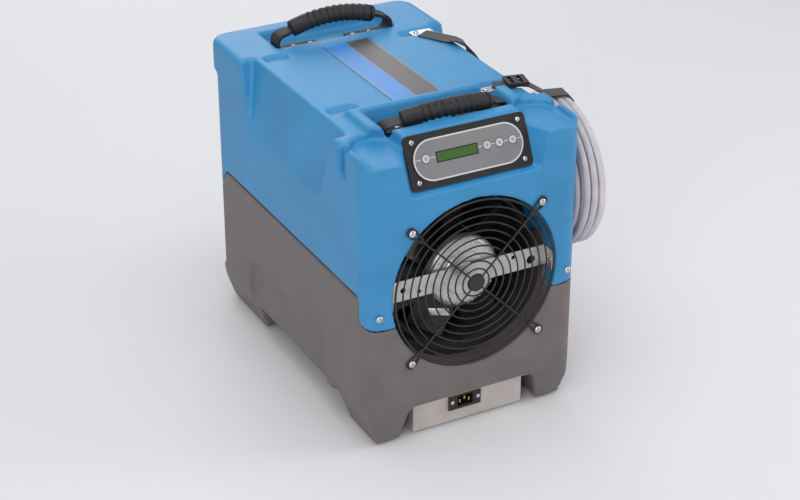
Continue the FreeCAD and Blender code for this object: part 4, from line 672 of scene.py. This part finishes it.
def display():
    """Green display window: a darker surround of frame and painted inner shadow, faint rows of dots,
    a gloss front.
    """
    material, tree, output = new_material("display_glass")
    across, up = panel_place(tree)
    inner = maths(tree, "MULTIPLY", between(tree, across, -46.0, 11.5),
                  between(tree, up, -3.6, 7.2))
    columns = maths(tree, "LESS_THAN", maths(tree, "FRACT", maths(tree, "MULTIPLY", across,
                                                                  0.36)), 0.84)
    rows = maths(tree, "LESS_THAN", maths(tree, "FRACT", maths(tree, "MULTIPLY", up, 0.19)), 0.9)
    cells = maths(tree, "MULTIPLY", columns, rows)
    lit = place(tree, "ShaderNodeMix", {"data_type": "RGBA"}, i0=cells,
                i6=linear(48, 84, 22), i7=linear(60, 102, 28))
    # the darker green outside the dots is a frame and also a painted inner shadow
    frame_and_inner_shadow = place(tree, "ShaderNodeMix", {"data_type": "RGBA"}, i0=inner,
                   i6=linear(30, 48, 18), i7=lit.outputs[2])
    shader = place(tree, "ShaderNodeBsdfPrincipled", Base_Color=frame_and_inner_shadow.outputs[2],
                   Roughness=0.12)
    shader.inputs["Coat Weight"].default_value = 0.5
    tree.links.new(shader.outputs[0], output.inputs[0])
    return material


def key_cap(name, u):
    """A grey domed key with a pale printed ring and dot."""
    material, tree, output = new_material(name)
    across, up = panel_place(tree)
    side = maths(tree, "SUBTRACT", across, u)
    rise = maths(tree, "SUBTRACT", up, 2.75)
    reach = maths(tree, "SQRT", maths(tree, "ADD", maths(tree, "MULTIPLY", side, side),
                                      maths(tree, "MULTIPLY", rise, rise)))
    pale = maths(tree, "MAXIMUM", between(tree, reach, 2.2, 4.9),
                 maths(tree, "LESS_THAN", reach, 0.8))
    skin = place(tree, "ShaderNodeGroup", {"node_tree": CLOUD}, Scale=120.0, Fine_Scale=1800.0)
    grey = place(tree, "ShaderNodeMix", {"data_type": "RGBA"}, i0=skin.outputs["Mask"],
                 i6=linear(122, 121, 122), i7=linear(134, 133, 134))
    printed = place(tree, "ShaderNodeMix", {"data_type": "RGBA"}, i0=pale,
                    i6=grey.outputs[2], i7=linear(202, 199, 200))
    shader = place(tree, "ShaderNodeBsdfPrincipled", Base_Color=printed.outputs[2],
                   Roughness=0.36)
    tree.links.new(shader.outputs[0], output.inputs[0])
    return material


finished("panel_overlay", film())
finished("display_lens", display(), edge=0.3 * MM)
for key, u in (("power_button", -63), ("menu_button", 27), ("up_button", 45.5),
               ("down_button", 65.5)):
    finished(key, key_cap(key + "_print", u), edge=0.3 * MM, sharp=25)
CIRCUIT = skinned("circuit_board", linear(28, 88, 52), linear(36, 104, 62), 0.4, cloud=200.0)
finished("control_board", CIRCUIT)

# ---- handles ----
# Each handle is a rubber strap, screwed down at both ends and bent up into a loop, with a ribbed
# sleeve moulded round its middle.  The front one flops forwards over the panel.
def ribbed_grip(name, node, row, lean):
    """A sleeve along the strap's arch: plain at one end, then rounded ribs."""
    spread, arch_radius, arch_z, hinge_z = 0.3353, 197.5, 257.5, 416.6
    rib_start, rib_end, rib_pitch = 27, 125.5, 9.85
    rib_valley, rib_height, sleeve_radius = 9.8, 2.7, 12.1
    steps, around = 168, 32
    length = 2 * spread * arch_radius
    shape = bmesh.new()
    rings = []
    for i in range(steps + 1):
        angle = spread * (2 * i / steps - 1)
        height = arch_z + arch_radius * math.cos(angle) - hinge_z
        centre = Vector((arch_radius * math.sin(angle), row - height * math.sin(lean),
                         hinge_z + height * math.cos(lean)))
        out = Vector((math.sin(angle), -math.sin(lean) * math.cos(angle),
                      math.cos(lean) * math.cos(angle)))
        along = Vector((math.cos(angle), math.sin(lean) * math.sin(angle),
                        -math.cos(lean) * math.sin(angle)))
        across = along.cross(out).normalized()
        place_on = length * i / steps
        radius = sleeve_radius
        if rib_start < place_on < rib_end:
            swell = abs(math.sin(math.pi * (place_on - rib_start) / rib_pitch)) ** 0.7
            radius = rib_valley + rib_height * swell
        end = min(place_on, length - place_on)
        if end < 3:
            radius -= 2.6 * (1 - math.sqrt(1 - (1 - end / 3) ** 2))
        ring = [shape.verts.new((centre + (out * math.cos(turn) + across * math.sin(turn))
                                 * radius) * MM)
                for turn in (2 * math.pi * k / around for k in range(around))]
        rings.append(ring)
    for near, far in zip(rings, rings[1:]):
        for k in range(around):
            shape.faces.new((near[k], near[(k + 1) % around], far[(k + 1) % around], far[k]))
    shape.faces.new(rings[0])
    shape.faces.new(rings[-1])
    grip = crisp(new_piece(name, shape, RUBBER), 50)
    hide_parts(node)


FRONT_LEAN = math.radians(45)
ribbed_grip("front_grip", "front_handle_grip", row=-142, lean=FRONT_LEAN)
ribbed_grip("rear_grip", "rear_handle_grip", row=173, lean=0.0)
finished("front_handle_strap", RUBBER, edge=0.9 * MM, sharp=40)
finished("rear_handle_strap", RUBBER, edge=0.9 * MM, sharp=40)

# ---- hose fittings ----
# A black barb leads the condensate out of the side, and a plain black spigot ends the hose.
finished("hose_outlet_barb", BLACK)
finished("hose_end_fitting", BLACK)


# ---- hose straps ----
# Two woven black bands go round the bundle of hose and are screwed to the deck through metal
# plates; the front one is drawn tight with a moulded buckle.
def webbing():
    material, tree, output = new_material("black_webbing")
    where = place(tree, "ShaderNodeTexCoord")
    weave = place(tree, "ShaderNodeTexWave", {"bands_direction": "DIAGONAL"},
                  Vector=where.outputs["Object"], Scale=260.0, Distortion=1.5, Detail=2.0)
    cross = place(tree, "ShaderNodeTexVoronoi", Vector=where.outputs["Object"], Scale=620.0)
    thread = place(tree, "ShaderNodeMath", {"operation": "MULTIPLY_ADD"}, i0=cross.outputs[0],
                   i1=0.6, i2=weave.outputs["Fac"])
    shade = place(tree, "ShaderNodeMix", {"data_type": "RGBA"}, i0=weave.outputs["Fac"],
                  i6=linear(24, 23, 25), i7=linear(46, 44, 48))
    relief = place(tree, "ShaderNodeBump", Height=thread.outputs[0], Strength=0.5,
                   Distance=0.0005)
    shader = place(tree, "ShaderNodeBsdfPrincipled", Base_Color=shade.outputs[2],
                   Roughness=0.72, Normal=relief.outputs[0])
    shader.inputs["Sheen Weight"].default_value = 0.25
    tree.links.new(shader.outputs[0], output.inputs[0])
    return material


WEBBING = webbing()
finished("front_hose_strap", WEBBING)
finished("rear_hose_strap", WEBBING)
finished("strap_buckle", BLACK, edge=0.7 * MM)
finished("strap_anchors", PLATED, edge=0.4 * MM)


# ---- top label ----
# A long blank film runs along the deck: a bright blue band, a dark band and thin dark outlines.
def label_film():
    material, tree, output = new_material("label_film")
    where = place(tree, "ShaderNodeTexCoord")
    apart = place(tree, "ShaderNodeSeparateXYZ", i0=where.outputs["Object"])
    across = maths(tree, "MULTIPLY", apart.outputs[0], 1000.0)
    reach = maths(tree, "ABSOLUTE", across)
    outline = between(tree, reach, 36.2, 37.4)
    gap = between(tree, reach, 34.2, 40.0)
    dark = between(tree, across, -1.0, 34.2)
    thin = between(tree, across, -2.4, -1.0)
    skin = place(tree, "ShaderNodeGroup", {"node_tree": CLOUD}, Scale=12.0, Fine_Scale=900.0)
    blue = place(tree, "ShaderNodeMix", {"data_type": "RGBA"}, i0=skin.outputs["Mask"],
                 i6=linear(20, 112, 190), i7=linear(38, 138, 214))
    black = place(tree, "ShaderNodeMix", {"data_type": "RGBA"}, i0=skin.outputs["Mask"],
                  i6=linear(62, 57, 58), i7=linear(82, 77, 78))
    colour = blue.outputs[2]
    for mask, other in ((dark, black.outputs[2]), (thin, linear(126, 116, 116)),
                        (gap, linear(66, 140, 184)), (outline, linear(86, 66, 58))):
        colour = place(tree, "ShaderNodeMix", {"data_type": "RGBA"}, i0=mask, i6=colour,
                       i7=other).outputs[2]
    shader = place(tree, "ShaderNodeBsdfPrincipled", Base_Color=colour, Roughness=0.36)
    relief = place(tree, "ShaderNodeBump", Height=skin.outputs["Height"], Strength=0.1,
                   Distance=0.0003)
    tree.links.new(relief.outputs[0], shader.inputs["Normal"])
    tree.links.new(shader.outputs[0], output.inputs[0])
    return material


finished("top_label", label_film())

# ---- air filter and intake ----
# The filter slides out at the back: a stiff dark frame holding a folded grey sheet.  A moulded
# grille stands in front of the evaporator behind it.
FIBRE = skinned("filter_sheet", linear(92, 94, 98), linear(112, 114, 118), 0.85, bump=0.6,
                cloud=90.0, fine=2600.0)
corners = [Vector(corner) for corner in NODES["air_filter"].bound_box]
(x0, y0, z0), (x1, y1, z1) = [[pick(corner[k] for corner in corners) for k in range(3)]
                              for pick in (min, max)]
filter_shape = bmesh.new()


def filled_box(shape, low, high):
    """An upright box between two corners."""
    size = Vector(high) - Vector(low)
    middle = (Vector(high) + Vector(low)) / 2
    return bmesh.ops.create_cube(shape, size=1, matrix=Matrix.Translation(middle)
                                 @ Matrix.Diagonal((size.x, size.y, size.z, 1)))["verts"]


rail = 9 * MM
for low, high in (((x0, y0, z0), (x1, y1, z0 + rail)), ((x0, y0, z1 - rail), (x1, y1, z1)),
                  ((x0, y0, z0 + rail), (x0 + rail, y1, z1 - rail)),
                  ((x1 - rail, y0, z0 + rail), (x1, y1, z1 - rail))):
    filled_box(filter_shape, low, high)
bmesh.ops.bevel(filter_shape, geom=filter_shape.edges[:], offset=1.0 * MM, segments=2,
                profile=0.5, affect="EDGES", material=-1)
filter_piece = crisp(new_piece("filter_frame", filter_shape, BLACK,
                               body="filter"), 40)
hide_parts("air_filter")
folds = bmesh.new()
fold_count = 34
fold_step = (x1 - x0 - 2 * rail) / fold_count
fold_near, fold_far = y0 + 3 * MM, y1 - 4 * MM
lines = []
for i in range(fold_count + 1):
    depth = fold_near if i % 2 else fold_far
    x = x0 + rail + fold_step * i
    lines.append([folds.verts.new((x, depth + off, z)) for off in (0, 0.9 * MM)
                  for z in (z0 + rail, z1 - rail)])
for near, far in zip(lines, lines[1:]):
    for a, b in ((0, 1), (1, 3), (3, 2), (2, 0)):
        folds.faces.new((near[a], near[b], far[b], far[a]))
for end in (lines[0], lines[-1]):
    folds.faces.new((end[0], end[1], end[3], end[2]))
new_piece("filter_folds", folds, FIBRE, body="filter", smooth=False)
finished("intake_grille", BLACK, edge=0.3 * MM)

# ---- base pan and mains inlet ----
# A folded pan of zinc-coated sheet carries the machine; a black oblong inlet with two plated
# screws and three pins is set into its front flange.
SHEET = skinned("zinc_sheet", linear(188, 180, 174), linear(206, 199, 194), 0.44, bump=0.12,
                cloud=22.0, fine=500.0, metal=0.35)
finished("base_pan", SHEET, edge=0.5 * MM)
finished("power_inlet", BLACK, edge=0.4 * MM)
BRASS = skinned("plated_brass", linear(196, 170, 104), linear(208, 184, 120), 0.28, metal=1.0)
finished("inlet_pins", BRASS)


# ---- refrigeration circuit ----
# Inside stands a hermetic rotary compressor with its accumulator, between two finned coils that
# copper lines join.  A condensate pump and a run capacitor stand on the pan beside it.
def striped(name, colour, darker, spacing, along, roughness, metal):
    """Sheets stacked along one direction: fine parallel lines with a shallow relief."""
    material, tree, output = new_material(name)
    where = place(tree, "ShaderNodeTexCoord")
    apart = place(tree, "ShaderNodeSeparateXYZ", i0=where.outputs["Object"])
    phase = maths(tree, "FRACT", maths(tree, "MULTIPLY", apart.outputs[along], 1 / spacing))
    line = maths(tree, "GREATER_THAN", phase, 0.72)
    skin = place(tree, "ShaderNodeGroup", {"node_tree": CLOUD}, Scale=50.0, Fine_Scale=900.0)
    shade = place(tree, "ShaderNodeMix", {"data_type": "RGBA"}, i0=line, i6=colour, i7=darker)
    worn = place(tree, "ShaderNodeMapRange", Value=skin.outputs["Mask"], From_Min=0.2,
                 From_Max=0.8, To_Min=roughness - 0.05, To_Max=roughness + 0.08)
    relief = place(tree, "ShaderNodeBump", Height=line, Strength=0.4, Distance=0.0003)
    shader = place(tree, "ShaderNodeBsdfPrincipled", Base_Color=shade.outputs[2],
                   Roughness=worn.outputs[0], Metallic=metal, Normal=relief.outputs[0])
    tree.links.new(shader.outputs[0], output.inputs[0])
    return material


PAINT = skinned("compressor_paint", linear(27, 27, 29), linear(36, 36, 38), 0.3, bump=0.12,
                cloud=40.0, fine=900.0, coat=0.3)
IRON = skinned("cast_iron", linear(92, 92, 94), linear(108, 108, 110), 0.5, bump=0.3,
               cloud=60.0, fine=1300.0, metal=0.8)
STEEL = skinned("ground_steel", linear(168, 168, 172), linear(186, 186, 189), 0.22, cloud=80.0,
                fine=2200.0, metal=1.0)
SHEETS = striped("motor_laminations", linear(112, 112, 116), linear(62, 62, 66), 0.0012, 2,
                 0.42, 0.8)
FINS = striped("coil_fins", linear(204, 206, 208), linear(128, 131, 134), 0.0018, 0, 0.38, 0.7)
CAN = skinned("drawn_can", linear(200, 200, 203), linear(216, 216, 218), 0.3, cloud=30.0,
              metal=0.9)
COPPER = skinned("copper_tube", linear(186, 106, 72), linear(204, 128, 92), 0.3, bump=0.08,
                 cloud=45.0, fine=800.0, metal=1.0)
for node in ("compressor_shell", "compressor_top_cap", "compressor_bottom_cap", "accumulator"):
    finished(node, PAINT)
for node in ("rolling_piston", "cylinder_block", "main_bearing", "lower_bearing"):
    finished(node, IRON)
for node in ("crankshaft", "vane"):
    finished(node, STEEL)
for node in ("compressor_stator", "compressor_rotor"):
    finished(node, SHEETS)
for node in ("evaporator", "condenser"):
    finished(node, FINS)
finished("compressor_grommets", RUBBER)
finished("compressor_studs", PLATED)
finished("condensate_pump", BLACK, edge=0.8 * MM)
finished("run_capacitor", CAN, edge=0.6 * MM)
finished("refrigerant_lines", COPPER)
